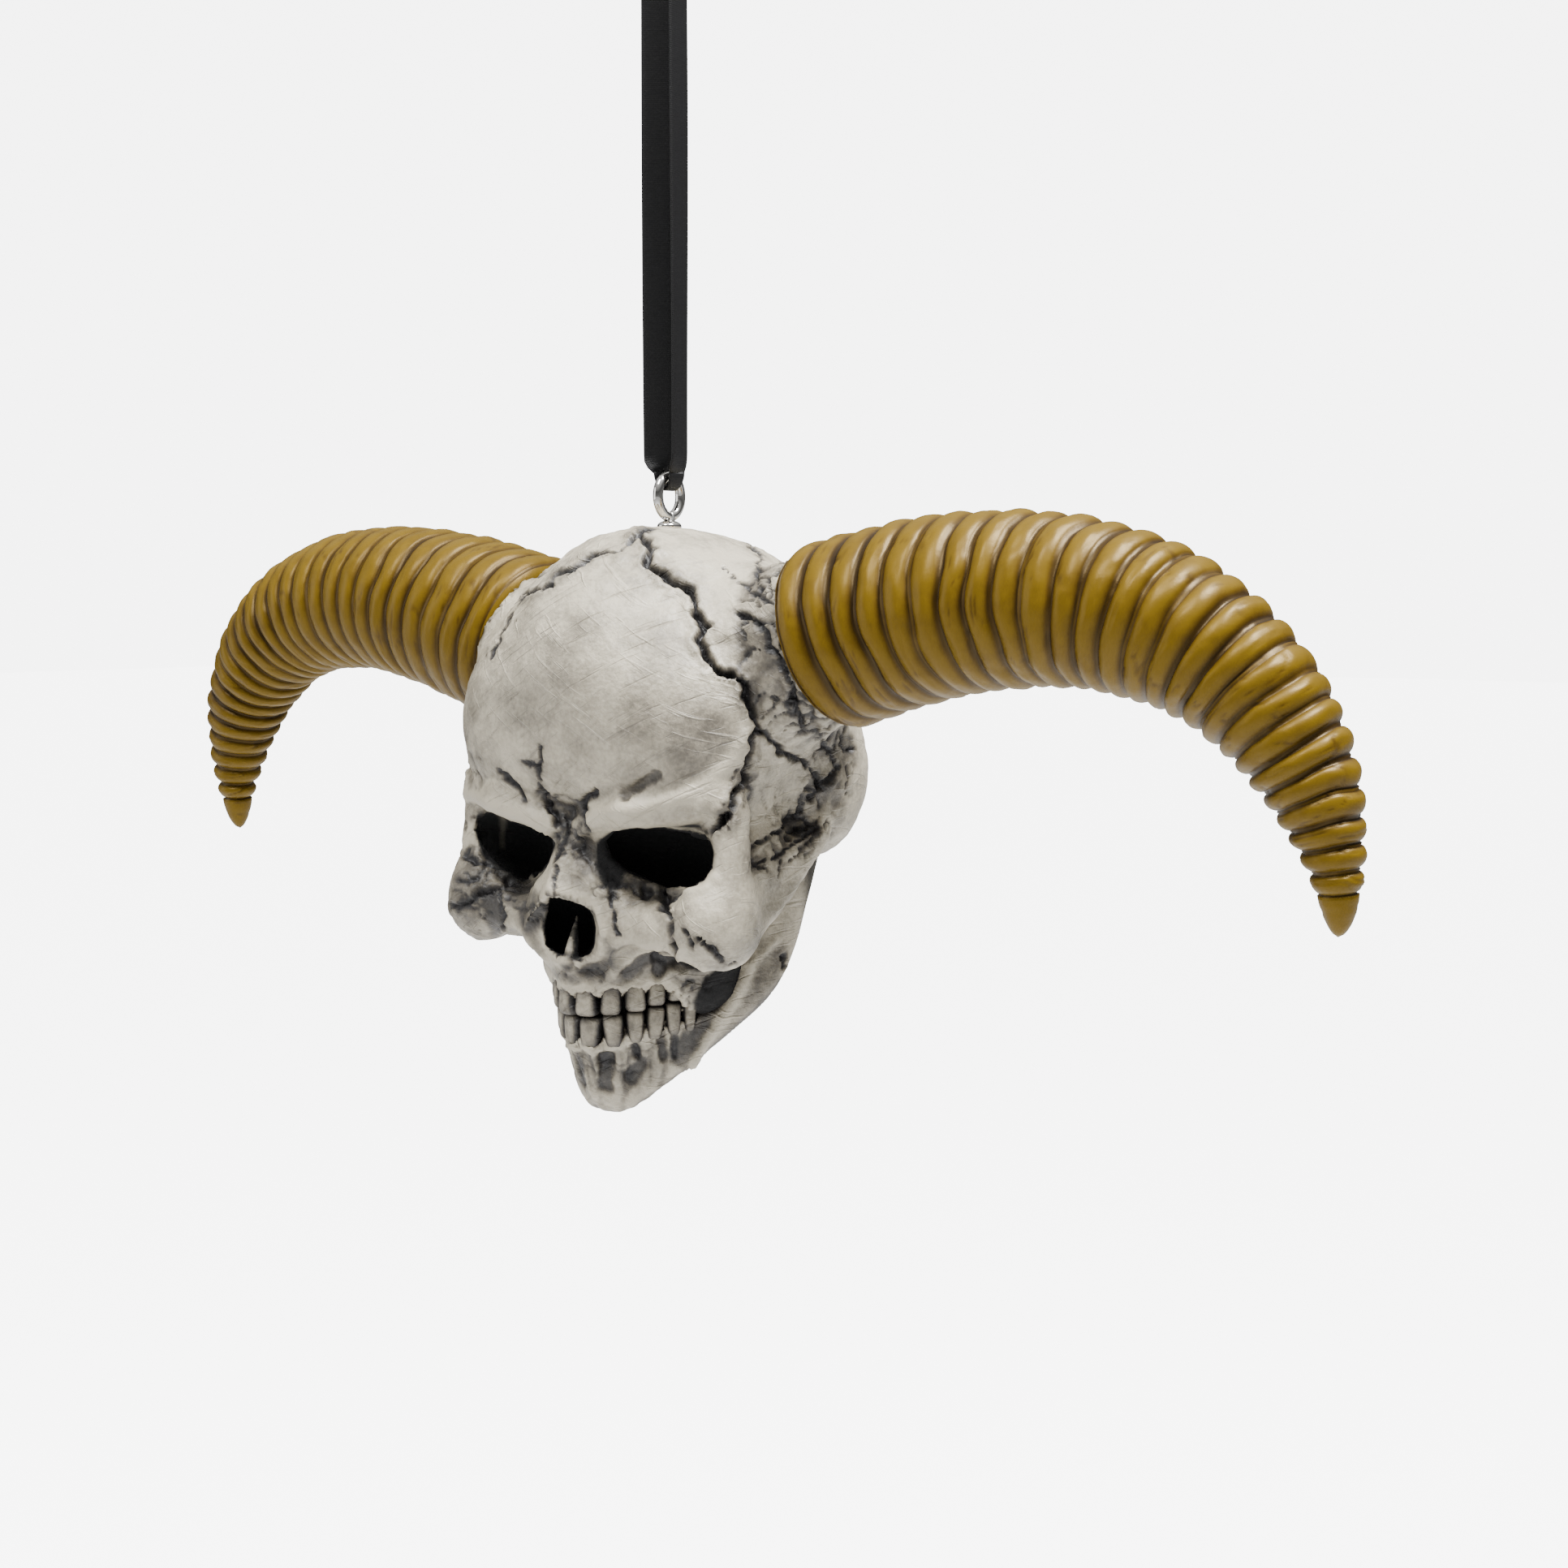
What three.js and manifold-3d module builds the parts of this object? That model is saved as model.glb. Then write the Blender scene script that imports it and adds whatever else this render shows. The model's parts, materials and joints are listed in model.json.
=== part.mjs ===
// A small hanging ornament: a horned skull cast in resin, with two ringed horns,
// a wire eye in the crown and a flat satin ribbon that goes up to its knot.
// It is modelled round the crown: +X is the skull's left, the face looks towards -Y, +Z is up,
// and the finished group is lowered so that its origin is where the ribbon hangs.

import Module from 'manifold-3d';
import * as THREE from 'three';
import { mergeVertices } from 'three/addons/utils/BufferGeometryUtils.js';

// Driving dimensions in millimetres

const GAP = 0.3; // between pieces that touch
const CELL = 1.6; // size of the skull's facets

// How softly two of the skull's forms run into each other
const BLEND = {
  broad: 4.0, soft: 3.0, firm: 2.0, close: 1.6, tight: 1.2, edge: 1.0, lip: 0.7, rim: 0.5, crease: 0.3,
};

const BRAINCASE = { at: [0, 5.2, -16.4], radii: [16.0, 17.4, 16.0] };
const FOREHEAD = { at: [0, -1.5, -15.6], radii: [13.6, 14.0, 15.2] };
const FOREHEAD_SIDE = { at: [8.2, -4.8, -18.6], radii: [9.0, 9.4, 10.0] };
const SKULL_BASE = { at: [0, 4.0, -28.0], radii: [11.0, 13.0, 6.5] };
const OCCIPUT = { at: [0, 17.0, -21.0], radii: [8.0, 5.6, 6.0] };
const TEMPLE_BULGE = { at: [10.5, 9.0, -24.0], radii: [6.0, 7.5, 7.8] };
const TEMPLE_HOLLOW = { at: [19.4, -3.4, -28.4], radii: [4.6, 5.4, 4.4] };
const HORN_BOSS_RADIUS = 7.9;
const HORN_BOSS_LENGTH = 10.0;

const BROW_INNER = { from: [1.6, -11.6, -27.4], to: [8.0, -11.7, -25.8], radius: [1.2, 1.8] };
const BROW_OUTER = { from: [8.0, -11.7, -25.8], to: [14.6, -8.2, -25.0], radius: [1.8, 2.1] };
const EYE_SIDE = { from: [15.4, -7.7, -26.0], to: [15.5, -8.2, -33.0], radius: [1.9, 1.9] };
const EYE_WALL = { at: [8.6, -2.6, -30.4], radii: [7.2, 6.6, 6.4] };
const EYE_FLOOR = { from: [13.6, -9.2, -36.2], to: [5.4, -10.2, -37.0], radius: [2.5, 2.4] };
const CHEEK = { at: [14.6, -8.4, -35.6], radii: [3.5, 3.9, 4.1] };
const ARCH = { from: [14.8, -6.4, -35.4], to: [15.0, 6.2, -28.6], radius: [3.6, 1.4] };
const ARCH_MIDDLE = 14.9; // the arch is a flat plate this far out
const ARCH_THICKNESS = 2.8;
const EYE_HOLE = { at: [9.1, -10.4, -30.6], radii: [5.4, 7.6, 3.2] };

const UPPER_JAW = { at: [0, -4.0, -37.6], radii: [8.6, 8.4, 7.6] };
const THROAT = { at: [0, -1.0, -34.0], radii: [8.0, 8.0, 7.0] };
const NOSE_ROOT = [-12.0, -27.9]; // y and z where the nasal bones start at the brow
const NOSE_TIP = -33.6; // height of their lower end
const NOSE_SLOPE = 0.636; // how fast their ridge comes forward as it goes down
const NOSE_ROOF = 0.98; // how fast their two planes go back to the sides
const NOSE_REACH = 4.6;
const NOSE_RISE = 2.0; // how far above their root they still show
const NOSE_EDGE = 0.6; // how fast their lower edge goes up to the sides
const NOSE_THICKNESS = 4.0;
const NOSE_RIDGE_ROUND = 0.5; // the ridge's roundness, and how much lower that leaves it
const NOSE_RIDGE_DROP = 0.3;
const NOSE_SIDE = { from: [3.4, -10.6, -28.4], to: [4.9, -11.7, -38.8], radius: [1.7, 1.8] };
const NOSE_HOLE = { at: [0, -13.2, -37.6], radii: [3.1, 6.0, 3.1] };
const NOSE_HOLE_TOP = { at: [0, -13.0, -35.4], radii: [2.3, 5.0, 2.6] };
const CANINE_HOLLOW = { at: [7.4, -11.4, -40.2], radii: [2.4, 1.8, 2.0] };
const GUM_SIDE = 8.9; // the tooth-bearing edge ends this far out
const GUM_TOP = -38.0;
const GUM_SET_BACK = 0.3; // of the jaws' faces behind the curve that the teeth follow
const PALATE = { at: [0, -2.0, -46.4], radii: [5.0, 6.4, 3.6] };

// The jaws' outer face in plan is a curve, round at the front and nearly straight further out
const JAW_FRONT = -13.0;
const JAW_FRONT_HEIGHT = -39.5;
const JAW_LEAN = 0.27; // how fast the face goes back as it goes down
const JAW_SPREAD = 1.65; // how fast it goes back where it is straight
const JAW_ROUND = 6.0; // how wide its round front is
const JAW_STRAIGHT = -43.0; // above this the lower jaw stands upright
const BITE_HEIGHT = -45.6; // of the bite line at the front teeth
const BITE_RISE = 0.25; // how fast the bite line rises towards the back
const UPPER_GUM = 2.5; // height of the upper gum edge above the bite line
const LOWER_GUM = 2.3;

const CHIN_BOTTOM = -55.4;
const CHIN_BOTTOM_AT = -7.2;
const JAW_EDGE_RISE = 1.1;
const JAW_THICKNESS = 3.4;
const RAMUS_HEIGHT = -43.0; // the height at which the jaw's upright branch is measured
const RAMUS_FRONT = -1.0;
const RAMUS_BACK = 4.2;
const RAMUS_LEAN = 0.42;
const RAMUS_SIDE = 13.4; // how far out its face stands
const RAMUS_TOP = -30.6;

const TEETH_EACH_SIDE = 6;
const TOOTH_STEP = 2.4; // width of a front tooth
const TOOTH_NARROWING = 0.07; // how much of it each further tooth loses
const TOOTH_LEVEL = 1.2; // how far from the bite line the row's curve is taken
const TOOTH_DEPTH = 2.4;
const TOOTH_PROUD = 0.6; // how far the teeth stand out of the jaw's face
const UPPER_TEETH = { seed: 11, side: 1, reach: 2.2, scale: 1 };
const LOWER_TEETH = { seed: 29, side: -1, reach: 1.7, scale: 0.93 };

const HORN_BASE = [19.7, 1.2, -10.3];
const HORN_TURN = [4.0, 1.6]; // degrees about X, then about Z
const HORN_AXIS = [0.956, 0, 0.292]; // the horn's direction at its base
const HORN_LINE = [[0, 0], [14.4, 4.4], [45.0, 12.0], [49.1, -15.1], [48.2, -23.2]];
const HORN_RADII = [8.8, 7.54, 5.96, 0.85];
const HORN_RINGS = 26;
const HORN_CAP = 4.2; // length of the smooth tip
const HORN_ROOTS = { left: -0.6, right: 3.2 }; // length of the horn behind the start of its line
const HORN_SOCKET_LENGTH = 7.0;
const RING_DEPTH = 0.7;
const RING_SWELL = 0.15;
const HORN_SIDES = 16;

const EYE_BACK = 2.2; // the wire eye stands this far behind the crown's front
const EYE_WIRE = 1.05;
const EYE_LOOP_RADIUS = 1.65;
const EYE_TOP = 5.1; // height of the wire's middle at the top of the loop
const EYE_FOOT = 0.75;
const GLUE_RADII = [1.1, 1.2, 0.75];

const RIBBON_WIDTH = 3.0;
const RIBBON_THICKNESS = 0.5;
const RIBBON_APART = 1.3; // from the middle to each strand
const RIBBON_GATHERED = 1.2; // its width where it is folded through the wire
const HANG_HEIGHT = 56.0;
const FOLD_RISE = 1.6; // from the wire's middle up to where the strands begin
const STRAND_TURNS = { left: 0.15, right: -0.92 }; // from fore and aft, in radians
const KNOT_RADII = [2.7, 2.0, 1.8];
const TAIL_LENGTH = 6.0;

const COLOURS = {
  bone: { color: 0xbdb8b0, roughness: 0.55, metalness: 0 },
  horn: { color: 0xa3782f, roughness: 0.45, metalness: 0 },
  chrome: { color: 0xc9cbce, roughness: 0.18, metalness: 1 },
  satin: { color: 0x101012, roughness: 0.4, metalness: 0 },
};

const wasm = await Module();
wasm.setup();

// Measures of a form: below zero inside, above zero outside

function ball(x, y, z, { at, radii }) {
  const [u, v, w] = [x - at[0], y - at[1], z - at[2]];
  const reach = Math.hypot(u / radii[0], v / radii[1], w / radii[2]);
  const slope = Math.hypot(u / radii[0] ** 2, v / radii[1] ** 2, w / radii[2] ** 2);
  return slope < 1e-9 ? -Math.min(...radii) : reach * (reach - 1) / slope;
}

function bar(x, y, z, { from, to, radius }) {
  const [ax, ay, az] = [to[0] - from[0], to[1] - from[1], to[2] - from[2]];
  const [px, py, pz] = [x - from[0], y - from[1], z - from[2]];
  const along = (px * ax + py * ay + pz * az) / (ax * ax + ay * ay + az * az);
  const share = Math.min(1, Math.max(0, along));
  const thickness = radius[0] + (radius[1] - radius[0]) * share;
  return Math.hypot(px - ax * share, py - ay * share, pz - az * share) - thickness;
}

function join(a, b, blend) {
  const share = Math.max(blend - Math.abs(a - b), 0) / blend;
  return Math.min(a, b) - share * share * blend / 4;
}

function common(a, b, blend) {
  return -join(-a, -b, blend);
}

function cut(a, b, blend) {
  return -join(-a, b, blend);
}

// The jaws' outer face at a height: how far forward it stands in the middle
function jawFront(z) {
  return JAW_FRONT + JAW_LEAN * (JAW_FRONT_HEIGHT - z);
}

// How far back it has gone at a distance from the middle, and how steeply
function jawCurve(x) {
  const reach = Math.hypot(x, JAW_ROUND);
  return { back: JAW_SPREAD * (reach - JAW_ROUND), slope: JAW_SPREAD * x / reach };
}

// How far a point stands outside it
function outsideJaw(x, y, z) {
  const { back, slope } = jawCurve(x);
  return (jawFront(z) + back - y) / Math.hypot(1, slope);
}

// How far a point lies above the bite line
function aboveBite(y, z) {
  return z - BITE_HEIGHT - BITE_RISE * (y - jawFront(BITE_HEIGHT));
}

// A stub round the horn's line that ends flat where the horn starts
function hornBoss(x, y, z, root) {
  const [ax, , az] = HORN_AXIS;
  const [px, py, pz] = [x - HORN_BASE[0], y - HORN_BASE[1], z - HORN_BASE[2]];
  const along = px * ax + pz * az;
  const aside = Math.hypot(px - along * ax, py, pz - along * az);
  const ends = Math.max(along + root + GAP, -along - HORN_BOSS_LENGTH);
  return common(aside - HORN_BOSS_RADIUS, ends, BLEND.edge);
}

// The nasal bones: two planes that meet in a ridge and end in an edge over the nose hole
function nasalBones(x, y, z) {
  const apart = Math.hypot(x, NOSE_RIDGE_ROUND) - NOSE_RIDGE_DROP;
  const ridge = NOSE_ROOT[0] + NOSE_SLOPE * (z - NOSE_ROOT[1]) + NOSE_ROOF * apart;
  const roof = (ridge - y) / Math.hypot(1, NOSE_SLOPE, NOSE_ROOF);
  const lowerEdge = (NOSE_TIP - NOSE_EDGE * x - z) / Math.hypot(1, NOSE_EDGE);
  const ends = Math.max(lowerEdge, z - NOSE_ROOT[1] - NOSE_RISE, x - NOSE_REACH);
  return common(common(roof, ends, BLEND.crease), -roof - NOSE_THICKNESS, BLEND.edge);
}

function upperSkull(xSigned, y, z) {
  const x = Math.abs(xSigned);
  let form = ball(x, y, z, BRAINCASE);
  form = join(form, ball(x, y, z, FOREHEAD), BLEND.broad);
  form = join(form, ball(x, y, z, FOREHEAD_SIDE), BLEND.broad);
  form = join(form, ball(x, y, z, SKULL_BASE), BLEND.soft);
  form = join(form, ball(x, y, z, OCCIPUT), BLEND.soft);
  form = join(form, ball(x, y, z, TEMPLE_BULGE), BLEND.soft);
  form = cut(form, ball(x, y, z, TEMPLE_HOLLOW), BLEND.firm);
  const root = xSigned > 0 ? HORN_ROOTS.left : HORN_ROOTS.right;
  form = join(form, hornBoss(x, y, z, root), BLEND.broad);
  form = join(form, ball(x, y, z, EYE_WALL), BLEND.soft);
  form = join(form, ball(x, y, z, THROAT), BLEND.soft);
  form = join(form, ball(x, y, z, UPPER_JAW), BLEND.soft);
  form = join(form, bar(x, y, z, NOSE_SIDE), BLEND.firm);
  form = join(form, bar(x, y, z, EYE_SIDE), BLEND.close);
  form = join(form, bar(x, y, z, EYE_FLOOR), BLEND.firm);
  form = join(form, ball(x, y, z, CHEEK), BLEND.close);
  const plate = common(bar(x, y, z, ARCH), Math.abs(x - ARCH_MIDDLE) - ARCH_THICKNESS / 2, BLEND.edge);
  form = join(form, plate, BLEND.close);
  const gum = Math.max(UPPER_GUM - aboveBite(y, z), z - GUM_TOP, x - GUM_SIDE);
  form = join(form, common(outsideJaw(x, y, z) + GUM_SET_BACK, gum, BLEND.tight), BLEND.close);
  form = cut(form, ball(x, y, z, EYE_HOLE), BLEND.lip);
  form = join(form, nasalBones(x, y, z), BLEND.tight);
  form = cut(form, ball(x, y, z, NOSE_HOLE), BLEND.rim);
  form = cut(form, ball(x, y, z, NOSE_HOLE_TOP), BLEND.rim);
  form = cut(form, ball(x, y, z, CANINE_HOLLOW), BLEND.edge);
  const brow = join(bar(x, y, z, BROW_INNER), bar(x, y, z, BROW_OUTER), BLEND.close);
  form = join(form, brow, BLEND.close);
  return cut(form, ball(x, y, z, PALATE), BLEND.tight);
}

function lowerJaw(xSigned, y, z) {
  const x = Math.abs(xSigned);
  const face = outsideJaw(x, y, Math.min(z, JAW_STRAIGHT)) + GUM_SET_BACK;
  const outside = common(face, x - RAMUS_SIDE, BLEND.firm);
  const edge = CHIN_BOTTOM + JAW_EDGE_RISE * Math.max(0, y - CHIN_BOTTOM_AT);
  const rear = RAMUS_BACK + RAMUS_LEAN * (z - RAMUS_HEIGHT);
  const front = RAMUS_FRONT + RAMUS_LEAN * (z - RAMUS_HEIGHT);
  const branch = common(front - y, z - RAMUS_TOP, BLEND.close);
  let form = common(outside, -outside - JAW_THICKNESS, BLEND.tight);
  const top = join(aboveBite(y, z) + LOWER_GUM, branch, BLEND.close);
  form = common(form, top, BLEND.tight);
  form = common(form, (edge - z) / Math.hypot(1, JAW_EDGE_RISE), BLEND.firm);
  return common(form, y - rear, BLEND.close);
}

// A closed skin over a form: one corner in each cell that the surface crosses, one four-sided
// face for each grid edge that it crosses, and each corner then drawn onto the surface
function skinOver(form, low, high, cell) {
  const [nx, ny, nz] = high.map((top, axis) => Math.ceil((top - low[axis]) / cell) + 1);
  const steps = [1, nx, nx * ny];
  const depth = new Float64Array(nx * ny * nz);
  for (let k = 0; k < nz; k++) {
    for (let j = 0; j < ny; j++) {
      for (let i = 0; i < nx; i++) {
        depth[i + j * nx + k * nx * ny] = form(low[0] + i * cell, low[1] + j * cell, low[2] + k * cell);
      }
    }
  }
  const sums = new Map();
  const faces = [];
  const add = (key, point) => {
    const sum = sums.get(key) ?? [0, 0, 0, 0];
    point.forEach((value, axis) => { sum[axis] += value; });
    sum[3] += 1;
    sums.set(key, sum);
  };
  for (let k = 1; k < nz - 1; k++) {
    for (let j = 1; j < ny - 1; j++) {
      for (let i = 1; i < nx - 1; i++) {
        const here = i + j * nx + k * nx * ny;
        for (let axis = 0; axis < 3; axis++) {
          const [start, end] = [depth[here], depth[here + steps[axis]]];
          if (start < 0 === end < 0) continue;
          const point = [low[0] + i * cell, low[1] + j * cell, low[2] + k * cell];
          point[axis] += cell * start / (start - end);
          const [b, c] = [steps[(axis + 1) % 3], steps[(axis + 2) % 3]];
          const around = [here, here - b, here - b - c, here - c];
          around.forEach((key) => add(key, point));
          faces.push(start < 0 ? around : around.reverse());
        }
      }
    }
  }
  const cornerOf = new Map();
  const positions = [];
  for (const [key, sum] of sums) {
    cornerOf.set(key, positions.length / 3);
    positions.push(...drawnOnto(form, sum.slice(0, 3).map((value) => value / sum[3]), cell / 2));
  }
  const apart = (a, b) => Math.hypot(...[0, 1, 2].map((n) => positions[3 * a + n] - positions[3 * b + n]));
  const index = [];
  for (const face of faces) {
    const [a, b, c, d] = face.map((key) => cornerOf.get(key));
    if (apart(a, c) < apart(b, d)) index.push(a, b, c, a, c, d);
    else index.push(b, c, d, b, d, a);
  }
  const geometry = new THREE.BufferGeometry();
  geometry.setAttribute('position', new THREE.Float32BufferAttribute(positions, 3));
  geometry.setIndex(index);
  return geometry;
}

// Moves a point onto the form's surface, by no more than the given reach
function drawnOnto(form, point, reach) {
  const probe = 0.05;
  let [x, y, z] = point;
  for (let pass = 0; pass < 4; pass++) {
    const value = form(x, y, z);
    const gx = (form(x + probe, y, z) - form(x - probe, y, z)) / (2 * probe);
    const gy = (form(x, y + probe, z) - form(x, y - probe, z)) / (2 * probe);
    const gz = (form(x, y, z + probe) - form(x, y, z - probe)) / (2 * probe);
    const step = value / Math.max(0.2, gx * gx + gy * gy + gz * gz);
    x -= gx * step;
    y -= gy * step;
    z -= gz * step;
  }
  const moved = [x - point[0], y - point[1], z - point[2]];
  const far = Math.hypot(...moved);
  const share = far > reach ? reach / far : 1;
  return point.map((value, axis) => value + moved[axis] * share);
}

// Closed bodies, and back to geometry

function sealed(geometry) {
  geometry.deleteAttribute('normal');
  geometry.deleteAttribute('uv');
  return mergeVertices(geometry, 1e-4);
}

function solid(geometry) {
  const vertProperties = new Float32Array(geometry.attributes.position.array);
  const triVerts = new Uint32Array(geometry.index.array);
  if (volumeOf(vertProperties, triVerts) < 0) {
    for (let n = 0; n < triVerts.length; n += 3) {
      [triVerts[n], triVerts[n + 1]] = [triVerts[n + 1], triVerts[n]];
    }
  }
  return new wasm.Manifold(new wasm.Mesh({ numProp: 3, vertProperties, triVerts }));
}

function volumeOf(places, corners) {
  const point = (n) => new THREE.Vector3().fromArray(places, 3 * corners[n]);
  let volume = 0;
  for (let n = 0; n < corners.length; n += 3) {
    volume += point(n).dot(point(n + 1).cross(point(n + 2))) / 6;
  }
  return volume;
}

function largestOf(body) {
  return body.decompose().sort((a, b) => b.volume() - a.volume())[0];
}

function geometryOf(body) {
  const mesh = body.getMesh();
  const geometry = new THREE.BufferGeometry();
  geometry.setAttribute('position', new THREE.BufferAttribute(mesh.vertProperties, 3));
  geometry.setIndex(new THREE.BufferAttribute(mesh.triVerts, 1));
  return geometry;
}

// The same run of random numbers each time
function seededDraw(seed) {
  let state = seed;
  return () => {
    state = (state * 16807) % 2147483647;
    return state / 2147483647;
  };
}

// Teeth

function tooth(width, depth, height) {
  const geometry = sealed(new THREE.SphereGeometry(1, 8, 5));
  geometry.rotateX(Math.PI / 2);
  const place = geometry.attributes.position;
  const sizes = [width, depth, height];
  const squarer = [0.5, 0.5, 0.25]; // the lower, the nearer to a box
  for (let n = 0; n < place.count; n++) {
    const spot = [place.getX(n), place.getY(n), place.getZ(n)];
    place.setXYZ(n, ...spot.map((value, axis) => {
      return Math.sign(value) * Math.abs(value) ** squarer[axis] * sizes[axis] / 2;
    }));
  }
  return geometry;
}

function teethRow({ seed, side, reach, scale }, swell = 0) {
  const draw = seededDraw(seed);
  const row = [];
  const level = BITE_HEIGHT + side * TOOTH_LEVEL;
  const front = jawFront(level);
  let x = 0;
  for (let n = 0; n < TEETH_EACH_SIDE; n++) {
    const step = TOOTH_STEP * scale * (1 - TOOTH_NARROWING * n);
    x += step / 2 / Math.hypot(1, jawCurve(x).slope);
    const { back, slope } = jawCurve(x);
    const turn = Math.atan(slope);
    for (const hand of [1, -1]) {
      const width = step * (1.02 + 0.1 * draw());
      const height = 2 * reach * (0.98 + 0.04 * draw());
      const geometry = tooth(width + 2 * swell, TOOTH_DEPTH + 2 * swell, height + 2 * swell);
      geometry.rotateZ(hand * turn);
      const inward = TOOTH_DEPTH / 2 - TOOTH_PROUD;
      const spot = [x - inward * Math.sin(turn), front + back + inward * Math.cos(turn)];
      const bite = BITE_HEIGHT + BITE_RISE * (spot[1] - front);
      geometry.translate(hand * spot[0], spot[1], bite + side * reach);
      row.push(solid(geometry));
    }
    x += step / 2 / Math.hypot(1, slope);
  }
  return row;
}

function withTeeth(body, row) {
  return row.reduce((whole, one) => whole.add(one), body);
}

// Horns

class HornLine extends THREE.Curve {
  getPoint(t, target = new THREE.Vector3()) {
    const [out, up] = bezier(HORN_LINE, t);
    return target.set(out, 0, up);
  }
}

function bezier(points, t) {
  let row = points.map((point) => [].concat(point));
  while (row.length > 1) {
    row = row.slice(1).map((next, n) => next.map((value, axis) => row[n][axis] * (1 - t) + value * t));
  }
  return row[0];
}

function hornGeometry(root) {
  const line = new HornLine();
  const length = line.getLength();
  const radiusAt = (along) => bezier(HORN_RADII, line.getUtoTmapping(Math.max(0, along) / length))[0];
  const ringed = length - HORN_CAP;
  const foot = -root;
  const profile = [[0, foot]];
  for (let ring = 0; ring < HORN_RINGS; ring++) {
    const start = foot + ringAt(ring) * (ringed - foot);
    const end = foot + ringAt(ring + 1) * (ringed - foot);
    profile.push([radiusAt(start) - RING_DEPTH, start]);
    profile.push([radiusAt((start + end) / 2) + RING_SWELL, (start + end) / 2]);
  }
  for (const share of [0, 0.45, 0.8]) {
    const along = ringed + HORN_CAP * share;
    profile.push([radiusAt(ringed) * (0.9 - 0.75 * share ** 1.6), along]);
  }
  profile.push([0, length]);
  const outline = profile.map(([r, y]) => new THREE.Vector2(r, y));
  const geometry = sealed(new THREE.LatheGeometry(outline, HORN_SIDES));
  bendAlong(geometry, line, length);
  return geometry;
}

// Rings stand closer together towards the tip
function ringAt(ring) {
  const share = ring / HORN_RINGS;
  return share + 0.12 * share * (1 - share);
}

// Lays a turned piece, upright along Y, along a line in the XZ plane
function bendAlong(geometry, line, length) {
  const place = geometry.attributes.position;
  const up = new THREE.Vector3(0, 1, 0);
  for (let n = 0; n < place.count; n++) {
    const [x, along, z] = [place.getX(n), place.getY(n), place.getZ(n)];
    const share = THREE.MathUtils.clamp(along / length, 0, 1);
    const centre = line.getPointAt(share);
    const tangent = line.getTangentAt(share);
    const across = new THREE.Vector3().crossVectors(tangent, up);
    centre.addScaledVector(tangent, along - share * length);
    centre.addScaledVector(across, x).addScaledVector(up, z);
    place.setXYZ(n, centre.x, centre.y, centre.z);
  }
}

function placedHorn(hand, geometry) {
  geometry.rotateX(THREE.MathUtils.degToRad(HORN_TURN[0]));
  geometry.rotateZ(THREE.MathUtils.degToRad(HORN_TURN[1]));
  geometry.translate(...HORN_BASE);
  geometry.scale(hand, 1, 1);
  return solid(geometry);
}

// What the skull loses so that the horn's root stands clear of it
function hornSocket(hand, root) {
  const line = new HornLine();
  const [foot, mouth] = [-root - GAP, HORN_SOCKET_LENGTH - root];
  const radius = HORN_RADII[0] + RING_SWELL + GAP;
  const profile = [[0, foot], [radius, foot], [radius, mouth], [0, mouth]];
  const outline = profile.map(([r, y]) => new THREE.Vector2(r, y));
  const geometry = sealed(new THREE.LatheGeometry(outline, HORN_SIDES));
  bendAlong(geometry, line, line.getLength());
  return placedHorn(hand, geometry);
}

// The wire eye: a drop-shaped loop whose two ends meet in the crown

function wireEye() {
  const middle = EYE_TOP - EYE_LOOP_RADIUS;
  const route = [new THREE.Vector3(0, 0, EYE_FOOT)];
  for (let degrees = -40; degrees <= 220; degrees += 20) {
    const turn = THREE.MathUtils.degToRad(degrees);
    const [y, z] = [EYE_LOOP_RADIUS * Math.cos(turn), middle + EYE_LOOP_RADIUS * Math.sin(turn)];
    route.push(new THREE.Vector3(0, y, z));
  }
  route.push(new THREE.Vector3(0, 0, EYE_FOOT));
  const wire = new THREE.Shape().absarc(0, 0, EYE_WIRE / 2, 0, 2 * Math.PI);
  const extrudePath = new THREE.CatmullRomCurve3(route, false, 'centripetal');
  const loop = sealed(new THREE.ExtrudeGeometry(wire, { steps: 24, curveSegments: 4, extrudePath }));
  const eye = solid(loop).add(glueBead(0));
  return eye.translate([0, EYE_BACK, 0]);
}

function glueBead(swell) {
  const bead = sealed(new THREE.SphereGeometry(1, 10, 6));
  bead.rotateX(Math.PI / 2);
  bead.scale(...GLUE_RADII.map((radius) => radius + swell));
  bead.translate(0, 0, EYE_FOOT);
  return solid(bead);
}

// The ribbon: a fold under the top of the wire, two strands and a knot with two tails

function ribbonStrip(route, width, steps) {
  const [w, t] = [width / 2, RIBBON_THICKNESS / 2];
  const bevel = t * 0.6;
  const outline = [[w, t - bevel], [w - bevel, t], [bevel - w, t], [-w, t - bevel],
    [-w, bevel - t], [bevel - w, -t], [w - bevel, -t], [w, bevel - t]];
  const section = new THREE.Shape(outline.map(([u, v]) => new THREE.Vector2(u, v)));
  const extrudePath = new THREE.CatmullRomCurve3(route.map((point) => new THREE.Vector3(...point)));
  return sealed(new THREE.ExtrudeGeometry(section, { steps, curveSegments: 1, extrudePath }));
}

// Turns a strand about its own upright line, from nothing at its foot to the whole turn
function twist(geometry, middle, foot, rise, turn) {
  const place = geometry.attributes.position;
  for (let n = 0; n < place.count; n++) {
    const share = THREE.MathUtils.smoothstep(place.getZ(n), foot, foot + rise);
    const spot = new THREE.Vector2(place.getX(n) - middle, place.getY(n));
    spot.rotateAround(new THREE.Vector2(), turn * share);
    place.setXY(n, spot.x + middle, spot.y);
  }
  return geometry;
}

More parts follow.
